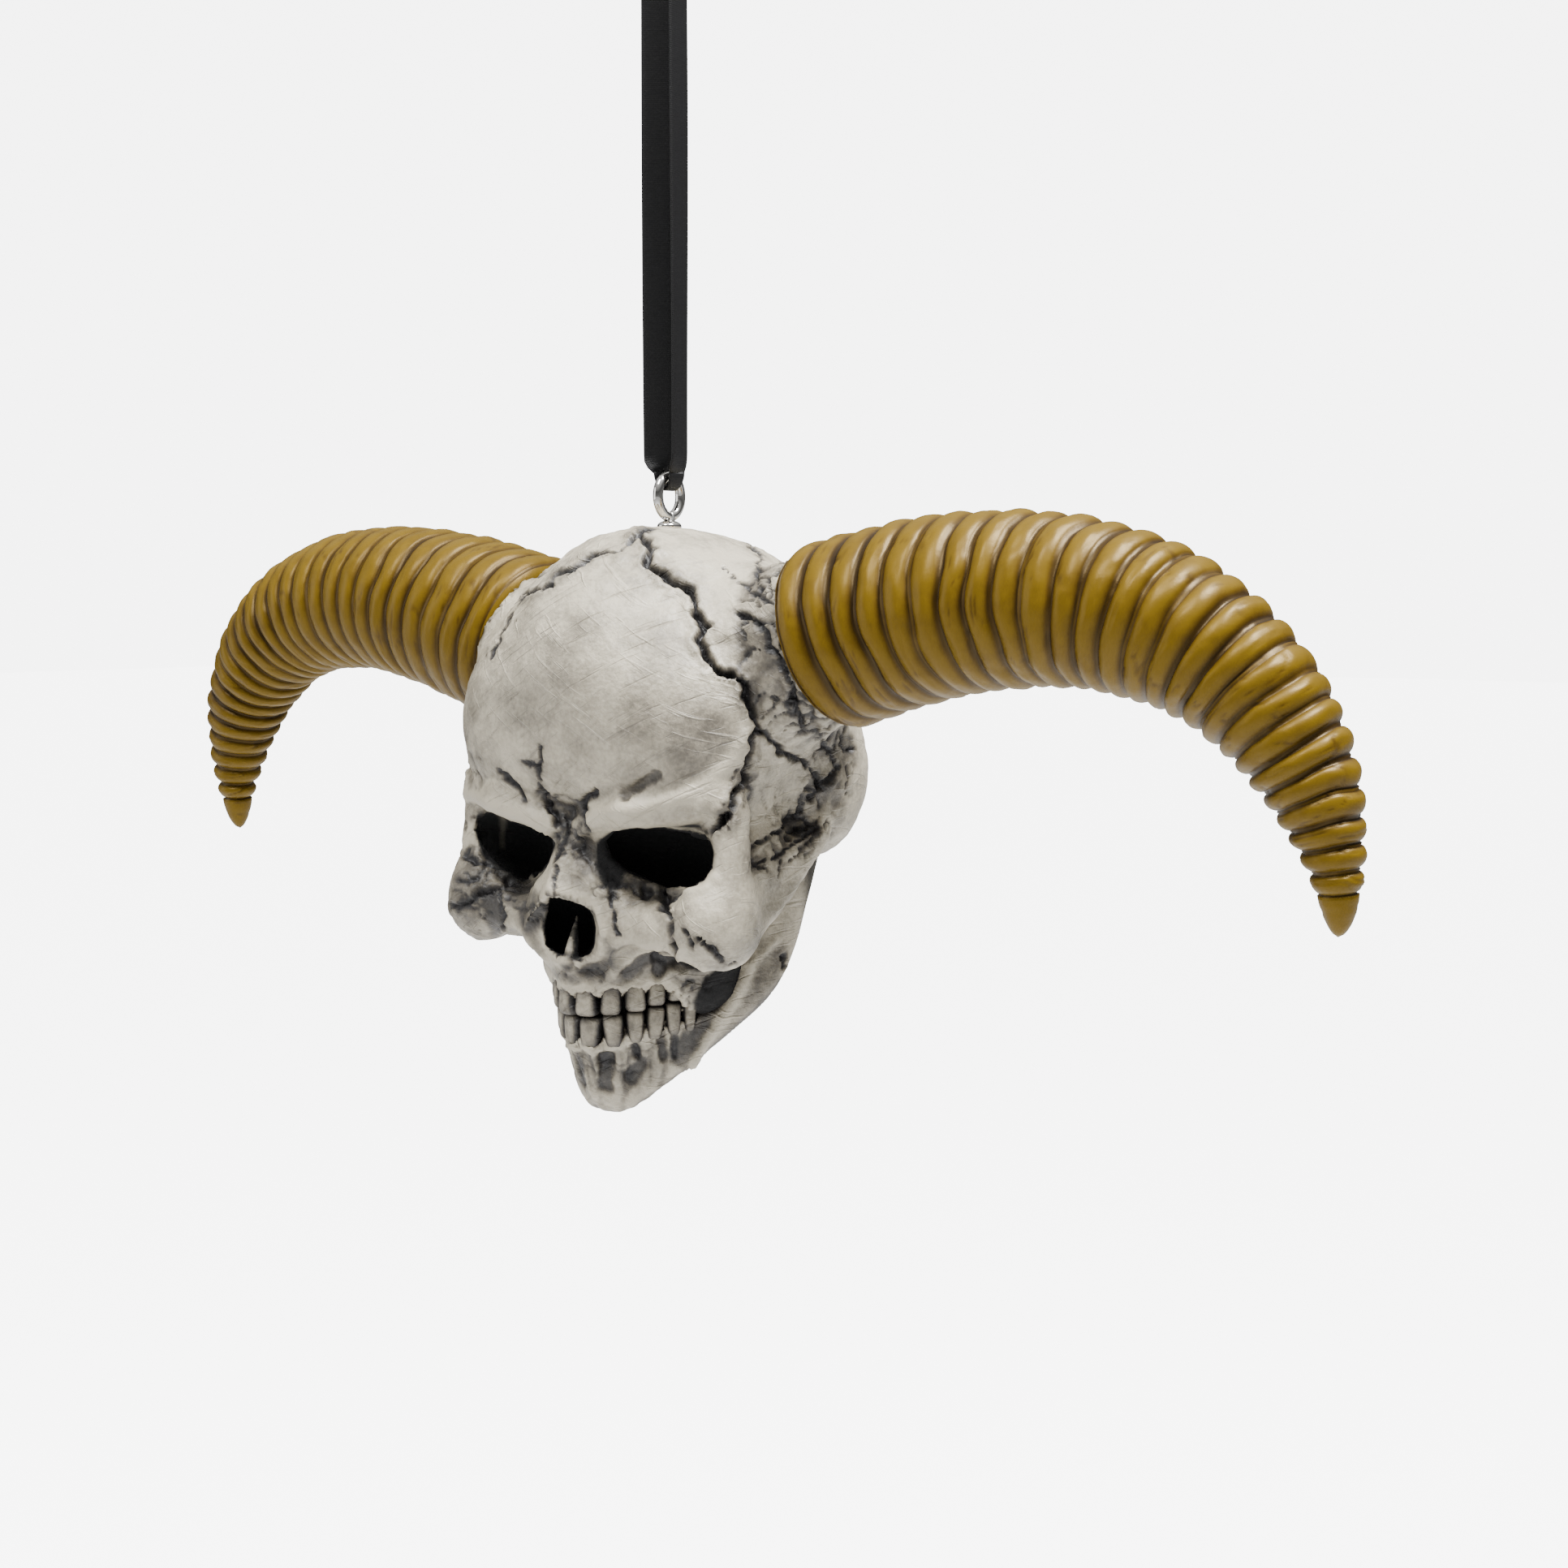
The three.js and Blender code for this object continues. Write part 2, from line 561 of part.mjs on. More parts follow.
function ribbonFold() {
  const low = EYE_TOP - EYE_WIRE / 2 - GAP - RIBBON_THICKNESS;
  const top = EYE_TOP + FOLD_RISE;
  const route = [[-RIBBON_APART, 0, top], [-RIBBON_APART, 0, EYE_TOP + 0.2]];
  for (let degrees = 200; degrees <= 340; degrees += 35) {
    const turn = THREE.MathUtils.degToRad(degrees);
    route.push([RIBBON_APART * Math.cos(turn), 0, low + RIBBON_APART * (1 + Math.sin(turn))]);
  }
  route.push([RIBBON_APART, 0, EYE_TOP + 0.2], [RIBBON_APART, 0, top]);
  return solid(ribbonStrip(route, RIBBON_GATHERED, 14)).translate([0, EYE_BACK, 0]);
}

function ribbonStrand(hand, turn) {
  const foot = EYE_TOP + FOLD_RISE + GAP;
  const head = HANG_HEIGHT - GAP;
  const x = hand * RIBBON_APART;
  const route = [[x, 0, foot], [x, 0, (foot + head) / 2], [x, 0, head]];
  const strip = ribbonStrip(route, RIBBON_WIDTH, 10);
  return solid(twist(strip, x, foot, 9, turn)).translate([0, EYE_BACK, 0]);
}

function ribbonKnot() {
  const lump = sealed(new THREE.SphereGeometry(1, 12, 8));
  lump.scale(...KNOT_RADII);
  lump.translate(0, 0, HANG_HEIGHT + KNOT_RADII[2]);
  const foot = HANG_HEIGHT + KNOT_RADII[2];
  let knot = solid(lump);
  for (const hand of [1, -1]) {
    const route = [[0, 0, foot], [hand * 1.4, hand * 0.4, foot + TAIL_LENGTH / 2],
      [hand * 2.4, hand * 0.9, foot + TAIL_LENGTH]];
    knot = knot.add(solid(ribbonStrip(route, RIBBON_WIDTH, 4)));
  }
  return knot.translate([0, EYE_BACK, 0]);
}

function meshFrom(name, body, look) {
  const geometry = body.isBufferGeometry ? body : geometryOf(body);
  geometry.computeVertexNormals();
  const mesh = new THREE.Mesh(geometry, new THREE.MeshStandardMaterial({ ...look, name }));
  mesh.name = name;
  return mesh;
}

const SKULL_LOW = [-23, -19, -48];
const SKULL_HIGH = [23, 27, 3];
const JAW_LOW = [-19, -16, -59];
const JAW_HIGH = [19, 11, -30];

const widened = (form) => (x, y, z) => form(x, y, z) - GAP;

const lower = solid(skinOver(lowerJaw, JAW_LOW, JAW_HIGH, CELL));
const lowerClearance = solid(skinOver(widened(lowerJaw), JAW_LOW, JAW_HIGH, CELL));
const upper = solid(skinOver(upperSkull, SKULL_LOW, SKULL_HIGH, CELL));

const upperTeeth = teethRow(UPPER_TEETH);
const mandible = largestOf(withTeeth(lower, teethRow(LOWER_TEETH)));
const mandibleClearance = withTeeth(lowerClearance, teethRow(LOWER_TEETH, GAP));
const sockets = hornSocket(1, HORN_ROOTS.left).add(hornSocket(-1, HORN_ROOTS.right));
const clearances = mandibleClearance.add(sockets).add(glueBead(GAP).translate([0, EYE_BACK, 0]));
const cranium = largestOf(withTeeth(upper, upperTeeth).subtract(clearances));

const ornament = new THREE.Group();
ornament.add(meshFrom('cranium', cranium, COLOURS.bone));
ornament.add(meshFrom('mandible', mandible, COLOURS.bone));
ornament.add(meshFrom('horn_left', placedHorn(1, hornGeometry(HORN_ROOTS.left)), COLOURS.horn));
ornament.add(meshFrom('horn_right', placedHorn(-1, hornGeometry(HORN_ROOTS.right)), COLOURS.horn));
ornament.add(meshFrom('screw_eye', wireEye(), COLOURS.chrome));
ornament.add(meshFrom('ribbon_fold', ribbonFold(), COLOURS.satin));
ornament.add(meshFrom('ribbon_left', ribbonStrand(1, STRAND_TURNS.left), COLOURS.satin));
ornament.add(meshFrom('ribbon_right', ribbonStrand(-1, STRAND_TURNS.right), COLOURS.satin));
ornament.add(meshFrom('ribbon_knot', ribbonKnot(), COLOURS.satin));
ornament.position.set(0, -EYE_BACK, -HANG_HEIGHT);

export default ornament;
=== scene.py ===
import bpy, bmesh, json, math
import numpy as np
from mathutils import Matrix, Vector
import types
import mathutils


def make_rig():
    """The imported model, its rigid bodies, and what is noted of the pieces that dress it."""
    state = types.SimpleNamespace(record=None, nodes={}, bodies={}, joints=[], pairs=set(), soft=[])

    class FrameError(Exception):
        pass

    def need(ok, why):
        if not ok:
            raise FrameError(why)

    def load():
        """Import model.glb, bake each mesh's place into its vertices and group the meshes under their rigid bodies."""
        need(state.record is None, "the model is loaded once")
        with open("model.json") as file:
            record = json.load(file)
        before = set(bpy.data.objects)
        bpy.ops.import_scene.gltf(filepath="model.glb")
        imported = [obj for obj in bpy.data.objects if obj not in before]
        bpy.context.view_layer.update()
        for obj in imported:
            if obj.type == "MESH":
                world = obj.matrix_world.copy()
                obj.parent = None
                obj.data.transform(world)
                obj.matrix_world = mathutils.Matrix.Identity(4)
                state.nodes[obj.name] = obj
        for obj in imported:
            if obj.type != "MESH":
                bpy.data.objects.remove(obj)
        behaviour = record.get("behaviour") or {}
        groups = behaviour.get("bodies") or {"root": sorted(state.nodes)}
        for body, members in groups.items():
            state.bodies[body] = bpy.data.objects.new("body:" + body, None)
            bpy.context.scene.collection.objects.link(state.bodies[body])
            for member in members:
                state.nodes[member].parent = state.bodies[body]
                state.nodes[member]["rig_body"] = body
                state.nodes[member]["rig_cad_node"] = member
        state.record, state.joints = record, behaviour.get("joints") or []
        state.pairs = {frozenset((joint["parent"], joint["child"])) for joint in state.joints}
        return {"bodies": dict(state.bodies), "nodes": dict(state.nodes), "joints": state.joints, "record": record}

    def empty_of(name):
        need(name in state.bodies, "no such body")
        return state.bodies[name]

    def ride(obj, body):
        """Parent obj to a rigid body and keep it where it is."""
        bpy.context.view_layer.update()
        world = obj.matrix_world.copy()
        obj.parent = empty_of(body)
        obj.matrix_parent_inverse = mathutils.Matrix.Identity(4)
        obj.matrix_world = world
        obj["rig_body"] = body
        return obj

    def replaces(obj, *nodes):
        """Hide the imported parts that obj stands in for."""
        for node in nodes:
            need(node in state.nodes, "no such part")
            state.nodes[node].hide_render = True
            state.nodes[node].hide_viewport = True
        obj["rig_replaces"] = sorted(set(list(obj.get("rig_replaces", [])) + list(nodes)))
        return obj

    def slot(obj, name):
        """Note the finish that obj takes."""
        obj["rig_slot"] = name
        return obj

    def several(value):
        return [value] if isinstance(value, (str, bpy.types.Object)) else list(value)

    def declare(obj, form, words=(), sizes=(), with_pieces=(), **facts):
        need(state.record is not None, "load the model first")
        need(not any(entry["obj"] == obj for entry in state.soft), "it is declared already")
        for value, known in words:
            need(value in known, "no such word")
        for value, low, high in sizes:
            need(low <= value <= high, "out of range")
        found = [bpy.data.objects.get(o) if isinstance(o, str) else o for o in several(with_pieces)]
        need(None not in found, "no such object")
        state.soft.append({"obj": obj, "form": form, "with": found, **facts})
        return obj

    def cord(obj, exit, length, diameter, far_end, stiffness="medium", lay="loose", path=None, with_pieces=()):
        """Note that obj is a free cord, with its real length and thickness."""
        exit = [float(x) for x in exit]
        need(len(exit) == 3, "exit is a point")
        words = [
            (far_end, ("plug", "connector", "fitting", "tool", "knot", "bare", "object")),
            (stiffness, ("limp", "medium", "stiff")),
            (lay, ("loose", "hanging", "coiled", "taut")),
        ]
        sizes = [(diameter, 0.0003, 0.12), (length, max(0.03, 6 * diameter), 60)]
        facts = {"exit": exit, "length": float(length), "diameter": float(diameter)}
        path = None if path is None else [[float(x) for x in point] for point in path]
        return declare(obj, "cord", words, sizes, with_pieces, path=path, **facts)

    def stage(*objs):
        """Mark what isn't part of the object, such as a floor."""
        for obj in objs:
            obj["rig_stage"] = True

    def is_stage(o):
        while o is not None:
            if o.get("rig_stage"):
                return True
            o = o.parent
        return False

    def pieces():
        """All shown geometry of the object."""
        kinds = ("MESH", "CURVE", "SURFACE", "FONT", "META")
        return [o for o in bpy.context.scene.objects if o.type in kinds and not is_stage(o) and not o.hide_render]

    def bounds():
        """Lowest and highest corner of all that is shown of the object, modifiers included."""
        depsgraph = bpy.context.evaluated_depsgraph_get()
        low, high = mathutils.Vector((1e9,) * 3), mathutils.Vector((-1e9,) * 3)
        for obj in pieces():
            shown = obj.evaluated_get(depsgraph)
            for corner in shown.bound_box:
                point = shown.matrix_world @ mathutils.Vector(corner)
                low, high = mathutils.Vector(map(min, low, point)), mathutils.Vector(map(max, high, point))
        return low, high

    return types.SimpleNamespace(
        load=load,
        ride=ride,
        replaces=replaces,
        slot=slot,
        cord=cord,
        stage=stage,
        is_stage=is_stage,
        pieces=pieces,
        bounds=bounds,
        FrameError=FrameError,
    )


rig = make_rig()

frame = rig.load()
cad_box = [list(map(float, corner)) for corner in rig.bounds()]

# Camera
# A 50 mm lens, level with the ornament's crown and a little to its left, looking slightly down.
eye_point = np.array([0.1370, -0.1610, -0.0625])
sight = np.array([-0.6052, 0.7915, -0.0854])
across = np.array([0.7944, 0.6074, 0.0])
upward = np.cross(across, sight)
camera = bpy.data.objects.new("camera", bpy.data.cameras.new("camera"))
camera.data.lens = 50
camera.data.sensor_width = 36
camera.data.clip_start = 0.01
camera.matrix_world = Matrix.Translation(eye_point) @ Matrix(
    (across, upward, -sight)).transposed().to_4x4()
bpy.context.scene.collection.objects.link(camera)
bpy.context.scene.camera = camera

# Stage
# A plain white floor under the hanging ornament, a white surround and three soft studio lights,
# the strongest from above. Floor and surround look brighter to the camera than they light.
floor_height, floor_reach, backdrop_glow, lamp_target = -0.30, 6, 6.0, (0, 0, -0.08)


def adjusted(node, sockets):
    """Sets the values of a shader node's own sockets."""
    for socket, value in dict(sockets).items():
        node.inputs[socket].default_value = value
    return node


def added(tree, kind, sockets=(), **settings):
    """A new shader node with its settings and the values of its sockets."""
    made = tree.nodes.new("ShaderNode" + kind)
    for setting, value in settings.items():
        setattr(made, setting, value)
    return adjusted(made, sockets)


def wired(tree, *wires):
    """Links shader nodes: each wire is a node, its output, the next node and its input."""
    for start, way_out, end, way_in in wires:
        tree.links.new(start.outputs[way_out], end.inputs[way_in])


def shaded(ramp, steps):
    """Gives a colour ramp its steps, each a place from 0 to 1 and a colour."""
    for spot, _ in steps[1:-1]:
        ramp.elements.new(spot)
    for element, (spot, colour) in zip(ramp.elements, steps):
        element.position, element.color = spot, (*colour, 1)


def finish(name, sockets):
    """A new material, its node tree and its main shader."""
    material = bpy.data.materials.new(name)
    material.use_nodes = True
    tree = material.node_tree
    return material, tree, adjusted(tree.nodes["Principled BSDF"], sockets)


def meshed(form, name, *materials):
    """A finished mesh made from its working form, which ends there."""
    mesh = bpy.data.meshes.new(name)
    form.to_mesh(mesh)
    form.free()
    for material in materials:
        mesh.materials.append(material)
    return mesh


bm = bmesh.new()
bmesh.ops.create_grid(bm, x_segments=1, y_segments=1, size=floor_reach,
                      matrix=Matrix.Translation((0, 0, floor_height)))
floor_mesh = meshed(bm, "floor")
floor = bpy.data.objects.new("floor", floor_mesh)
bpy.context.scene.collection.objects.link(floor)
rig.stage(floor)
paper, tree, shader = finish("paper", {
    "Base Color": (0.9, 0.9, 0.9, 1), "Roughness": 0.9, "Emission Color": (1.0, 1.0, 1.0, 1)})
path = added(tree, "LightPath")
glow = added(tree, "Math", {1: backdrop_glow}, operation="MULTIPLY")
wired(tree, (path, "Is Camera Ray", glow, 0), (glow, "Value", shader, "Emission Strength"))
floor_mesh.materials.append(paper)

# The surround is brightest overhead and darkest a little below the level of the object.
world = bpy.data.worlds.new("surround")
world.use_nodes = True
tree = world.node_tree
backdrop = adjusted(tree.nodes["Background"], {"Color": (1.0, 1.0, 1.0, 1)})
direction = added(tree, "TexCoord")
height = added(tree, "SeparateXYZ")
brightness = added(tree, "ValToRGB")
shaded(brightness.color_ramp, [
    (spot, (level, level, level)) for spot, level in ((0.0, 0.20), (0.25, 0.10), (0.50, 0.45), (1.0, 1.30))])
path = added(tree, "LightPath")
glow = added(tree, "Math", {1: backdrop_glow}, operation="MULTIPLY_ADD")
wired(tree, (direction, "Generated", height, "Vector"), (height, "Z", brightness, "Fac"),
      (path, "Is Camera Ray", glow, 0), (brightness, "Color", glow, 2),
      (glow, "Value", backdrop, "Strength"))
bpy.context.scene.world = world
for name, place, size, power in (
    ("key", (0.04, -0.26, 0.34), 0.16, 2.7),
    ("fill", (-0.34, -0.34, 0.02), 0.30, 0.7),
    ("top", (0.22, 0.02, 0.36), 0.16, 8.0),
):
    lamp = bpy.data.lights.new(name, "AREA")
    lamp.size = size
    lamp.energy = power
    light = bpy.data.objects.new(name, lamp)
    aim = Vector(lamp_target) - Vector(place)
    light.matrix_world = Matrix.Translation(place) @ aim.to_track_quat("-Z", "Y").to_matrix().to_4x4()
    bpy.context.scene.collection.objects.link(light)

# Ribbon
# One length of 3 mm black satin ribbon, folded through the wire eye and knotted 56 mm above the
# crown. It is woven flat with firm edges; each strand turns about itself on its way up.
ribbon_width, ribbon_thickness = 0.0030, 0.00034
strand_width = ribbon_width * 0.97
strand_foot, strand_head = -0.0506, 0.0008
foot_width, foot_reach, strand_spread, head_gather = 0.0022, 0.0014, 0.0013, 0.0035
satin, tree, shader = finish("black_satin", {"Roughness": 0.45, "Specular IOR Level": 0.25})
weave = added(tree, "UVMap", uv_map="weave")
warp = added(tree, "TexWave", {"Scale": 7.0, "Distortion": 0.6}, wave_type="BANDS", bands_direction="X")
weft = added(tree, "TexWave", {"Scale": 1.6, "Distortion": 0.4}, wave_type="BANDS", bands_direction="Y")
threads = added(tree, "Math", operation="ADD")
tint = added(tree, "Mix", {"A": (0.002, 0.002, 0.0022, 1), "B": (0.007, 0.007, 0.0075, 1)}, data_type="RGBA")
bump = added(tree, "Bump", {"Strength": 0.35, "Distance": 0.00003})
wired(tree, (weave, "UV", warp, "Vector"), (weave, "UV", weft, "Vector"),
      (warp, "Fac", threads, 0), (weft, "Fac", threads, 1), (threads, "Value", bump, "Height"),
      (warp, "Fac", tint, "Factor"), (tint, "Result", shader, "Base Color"),
      (bump, "Normal", shader, "Normal"))


def fixed(name, mesh, slot):
    """Puts a finished mesh in the scene, on the ornament's one body."""
    piece = bpy.data.objects.new(name, mesh)
    bpy.context.scene.collection.objects.link(piece)
    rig.ride(piece, "root")
    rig.slot(piece, slot)
    return piece


def ribbon_piece(name, middles, sides, widths):
    """A flat band along the middles, its width along the sides, with rounded woven edges."""
    band = bmesh.new()
    uv = band.loops.layers.uv.new("weave")
    corners, squareness = 20, 0.45
    outline = []
    for turn in range(corners):
        angle = 2 * math.pi * turn / corners
        outline.append([math.copysign(abs(value) ** squareness, value) / 2
                        for value in (math.cos(angle), math.sin(angle))])
    rings, lengths = [], [0.0]
    for before, after in zip(middles[:-1], middles[1:]):
        lengths.append(lengths[-1] + (after - before).length)
    for n, (middle, side, width) in enumerate(zip(middles, sides, widths)):
        tangent = (middles[min(n + 1, len(middles) - 1)] - middles[max(n - 1, 0)]).normalized()
        side = (side - tangent * side.dot(tangent)).normalized()
        face = tangent.cross(side)
        rings.append([band.verts.new(middle + side * u * width + face * v * ribbon_thickness)
                      for u, v in outline])
    for n in range(len(rings) - 1):
        for k in range(corners):
            around = ((n, k), (n, k + 1), (n + 1, k + 1), (n + 1, k))
            quad = band.faces.new([rings[ring][corner % corners] for ring, corner in around])
            quad.smooth = True
            for loop, (ring, corner) in zip(quad.loops, around):
                loop[uv].uv = (outline[corner % corners][0] * 3.0, lengths[ring] * 1000)
    for ring in (rings[0], rings[-1]):
        band.faces.new(ring)
    bmesh.ops.recalc_face_normals(band, faces=band.faces)
    return fixed(name, meshed(band, name, satin), "satin")


strands, strand_paths = {}, {}
for node, hand, turn in (("ribbon_left", 1, 0.15), ("ribbon_right", -1, -0.92)):
    middles, sides, widths = [], [], []
    for n in range(81):
        share = n / 80
        height = strand_foot + (strand_head - strand_foot) * share
        rise = min(1.0, (height - strand_foot) / foot_reach)
        angle = turn * rise * rise * (3 - 2 * rise) + 0.05 * math.sin(5 * share + hand)
        gathered = max(0.0, 1 - (strand_head - height) / head_gather) ** 2
        sway = 0.00008 * math.sin(math.pi * share)
        spread = strand_spread - 0.00035 * (1 - rise) - 0.0007 * gathered + sway
        middles.append(Vector((hand * spread, 0.0, height)))
        sides.append(Vector((-math.sin(angle), math.cos(angle), 0)))
        widths.append(foot_width + (strand_width - foot_width) * rise ** 0.5 - 0.0009 * gathered)
    strands[node] = ribbon_piece(f"{node}_strand", middles, sides, widths)
    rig.replaces(strands[node], node)
    strand_paths[node] = [tuple(middle) for middle in middles]

# The fold goes under the top of the wire, gathered a little to fit inside the loop.
fold_reach, fold_top, fold_drop = 0.00095, -0.0507, 0.00145
middles, sides, widths = [], [], []
for n in range(25):
    share = n / 24
    angle = math.pi * (1 + share)
    middles.append(Vector((fold_reach * math.cos(angle), 0, fold_top + fold_drop * math.sin(angle))))
    sides.append(Vector((0, 1, 0)))
    widths.append(0.0017 + 0.0005 * (2 * share - 1) ** 2)
for end in (middles[0], middles[-1]):
    end.z += 0.0002
fold = ribbon_piece("ribbon_fold_band", middles, sides, widths)
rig.replaces(fold, "ribbon_fold")

# The knot at the top: a pulled-tight lump wrapped by the ribbon, with two short cut tails.
knot_reach, knot_middle = (0.0026, 0.0019, 0.0017), 0.0018
tail_reach, tail_rise = 0.0028, 0.0060
bm = bmesh.new()
bmesh.ops.create_uvsphere(bm, u_segments=64, v_segments=40, radius=1)
for vert in bm.verts:
    x, y, z = vert.co
    swell = 0.93 + 0.06 * math.sin(7 * z + 3 * x) + 0.05 * math.sin(9 * x - 4 * z + 2)
    vert.co = Vector([side * reach * swell for side, reach in zip(vert.co, knot_reach)])
    vert.co.z += knot_middle
uv = bm.loops.layers.uv.new("weave")
for face in bm.faces:
    face.smooth = True
    for loop in face.loops:
        loop[uv].uv = (loop.vert.co.x * 1000 + loop.vert.co.z * 500, loop.vert.co.z * 1000)
knot = fixed("ribbon_knot_lump", meshed(bm, "ribbon_knot_lump", satin), "satin")
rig.replaces(knot, "ribbon_knot")
tails = []
for name, hand in (("left", 1), ("right", -1)):
    middles, sides = [], []
    for n in range(13):
        share = n / 12
        middles.append(Vector((hand * (tail_reach * share ** 0.8), hand * 0.0009 * share,
                               knot_middle + tail_rise * share)))
        sides.append(Vector((-0.2 * hand * share, 1, 0)))
    tails.append(ribbon_piece(f"ribbon_tail_{name}", middles, sides, [ribbon_width * 0.95] * 13))

for node, piece in strands.items():
    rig.cord(piece, exit=strand_paths[node][0], length=0.0514, diameter=ribbon_width, far_end="knot",
            stiffness="limp", lay="taut", path=strand_paths[node],
            with_pieces=[knot, fold, *tails] if node == "ribbon_left" else [])

# Screw eye
# A bright steel wire bent to a drop-shaped loop, its two ends set in the crown in a bead of glue.
wire_radius, loop_radii, loop_middle, wire_foot = 0.00050, (0.00165, 0.00193), -0.05281, -0.0557
bead_reach, shank_length = (0.0011, 0.0013, 0.0006), 0.0020
chrome, tree, shader = finish("bright_wire", {"Metallic": 1.0})
place = added(tree, "TexCoord")
scuffs = added(tree, "TexNoise", {"Scale": 900.0, "Detail": 5.0})
polish = added(tree, "MapRange", {"To Min": 0.04, "To Max": 0.14})
tarnish = added(tree, "Mix", {"A": (0.50, 0.48, 0.44, 1), "B": (0.85, 0.84, 0.82, 1)}, data_type="RGBA")
wired(tree, (place, "Object", scuffs, "Vector"), (scuffs, "Fac", polish, "Value"),
      (polish, "Result", shader, "Roughness"), (scuffs, "Fac", tarnish, "Factor"),
      (tarnish, "Result", shader, "Base Color"))
wire_end = (0, 0, loop_middle - loop_radii[1] - 0.0004)
wire_route = [wire_end]
for degrees in range(-84, 267, 6):
    angle = math.radians(degrees)
    wire_route.append((0, loop_radii[0] * math.cos(angle), loop_middle + loop_radii[1] * math.sin(angle)))
wire_route.append(wire_end)
wire_line = bpy.data.curves.new("screw_eye_wire", "CURVE")
wire_line.dimensions = "3D"
wire_line.bevel_depth = wire_radius
wire_line.bevel_resolution = 8
spline = wire_line.splines.new("POLY")
spline.points.add(len(wire_route) - 1)
for point, spot in zip(spline.points, wire_route):
    point.co = (*spot, 1)
shaper = bpy.data.objects.new("shaper", wire_line)
bpy.context.scene.collection.objects.link(shaper)
wire_mesh = bpy.data.meshes.new_from_object(shaper.evaluated_get(bpy.context.evaluated_depsgraph_get()))
bpy.data.objects.remove(shaper)
bm = bmesh.new()
bm.from_mesh(wire_mesh)
bead = Matrix.Translation((0, 0, wire_foot)) @ Matrix.Diagonal((*bead_reach, 1))
bmesh.ops.create_uvsphere(bm, u_segments=32, v_segments=16, radius=1, matrix=bead)
bmesh.ops.create_cone(bm, cap_ends=True, segments=32, radius1=0.0006, radius2=wire_radius,
                      depth=shank_length, matrix=Matrix.Translation((0, 0, wire_foot + 0.0002)))
for face in bm.faces:
    face.smooth = True
bm.to_mesh(wire_mesh)
bm.free()
wire_mesh.materials.clear()
wire_mesh.materials.append(chrome)
screw_eye = fixed("screw_eye_loop", wire_mesh, "chrome")
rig.replaces(screw_eye, "screw_eye")

# Cranium
# The upper skull: one solid casting in pale resin, sculpted with brow, nose, cheeks and sutures,
# painted off-white and washed with dark grey that stays in every crack and hollow; its deep openings are painted black
# as shade.
crown_height = np.array([0, 2.2, 56.0])
horn_place, horn_axis = np.array([19.7, 1.2, -10.3]), np.array([0.956, 0, 0.292])
left_root, right_root, horn_socket = -0.6, 3.2, 7.9
arch_front, arch_top, arch_lean, arch_flare, arch_round = -13.0, -39.5, 0.27, 1.65, 6.0
bite_front, bite_height, bite_slope = -11.35, -45.6, 0.25
gum_top, gum_side = -38.0, 8.9
upper_scale, lower_scale = 1.0, 0.93
picture_size, focal_length, pixels_per_mm = 1932, 2683, 13.0


def ball(p, at, radii):
    """How far points lie outside an ellipsoid, below nought inside it."""
    d = (p - np.array(at)) / np.array(radii)
    reach = np.sqrt((d * d).sum(1))
    slope = np.sqrt(((d / np.array(radii)) ** 2).sum(1)) + 1e-9
    return reach * (reach - 1) / slope


def bar(p, start, end, radius):
    """The same for a round bar that tapers from its start to its end."""
    a = np.array(end) - np.array(start)
    d = p - np.array(start)
    share = np.clip(d @ a / (a @ a), 0, 1)
    q = d - share[:, None] * a
    return np.sqrt((q * q).sum(1)) - (radius[0] + (radius[1] - radius[0]) * share)


def join(a, b, blend):
    """Both forms together, with a rounded corner as wide as the blend."""
    share = np.maximum(blend - np.abs(a - b), 0) / blend
    return np.minimum(a, b) - share * share * blend / 4


def common(a, b, blend):
    return -join(-a, -b, blend)


def cut(a, b, blend):
    return -join(-a, b, blend)


def ramp(value, low, high):
    """From nought at the low value to one at the high one."""
    share = np.clip((value - low) / (high - low), 0, 1)
    return share * share * (3 - 2 * share)


def grain(p, size, seed):
    """Smooth seeded noise from -1 to 1, with a cell of the given size or sizes."""
    q = p / np.array(size)
    base = np.floor(q).astype(int)
    part = q - base
    part = part * part * (3 - 2 * part)
    lattice = np.random.RandomState(seed).rand(32, 32, 32) * 2 - 1
    total = np.zeros(len(p))
    for corner in np.ndindex(2, 2, 2):
        weight = np.prod(np.where(corner, part, 1 - part), axis=1)
        spot = (base + np.array(corner)) % 32
        total += weight * lattice[spot[:, 0], spot[:, 1], spot[:, 2]]
    return total


def mirrored(p):
    """The same points, all brought to the skull's left side."""
    return np.stack([np.abs(p[:, 0]), p[:, 1], p[:, 2]], 1)


def outside_jaw(p, z):
    """How far points lie in front of the curve that the jaws' faces follow at the height z."""
    x, y = p[:, 0], p[:, 1]
    front = arch_front + arch_lean * (arch_top - z)
    reach = np.hypot(x, arch_round)
    return (front + arch_flare * (reach - arch_round) - y) / np.sqrt(1 + (arch_flare * x / reach) ** 2)


def above_bite(p):
    return p[:, 2] - bite_height - bite_slope * (p[:, 1] - bite_front)


def seen(p):
    """Where a point shows in the camera's picture, in its pixels."""
    d = p - crown_height - eye_point * 1000
    scale = focal_length / (d @ sight)
    return picture_size / 2 + np.stack([d @ across * scale, -(d @ upward) * scale], 1)


def line_distance(spots, line):
    """The distance from each spot to a broken line, in the same measure."""
    nearest = np.full(len(spots), 1e9)
    line = np.array(line, float)
    for a, b in zip(line[:-1], line[1:]):
        share = np.clip((spots - a) @ (b - a) / ((b - a) @ (b - a)), 0, 1)
        gap = spots - a - share[:, None] * (b - a)
        nearest = np.minimum(nearest, np.sqrt((gap * gap).sum(1)))
    return nearest


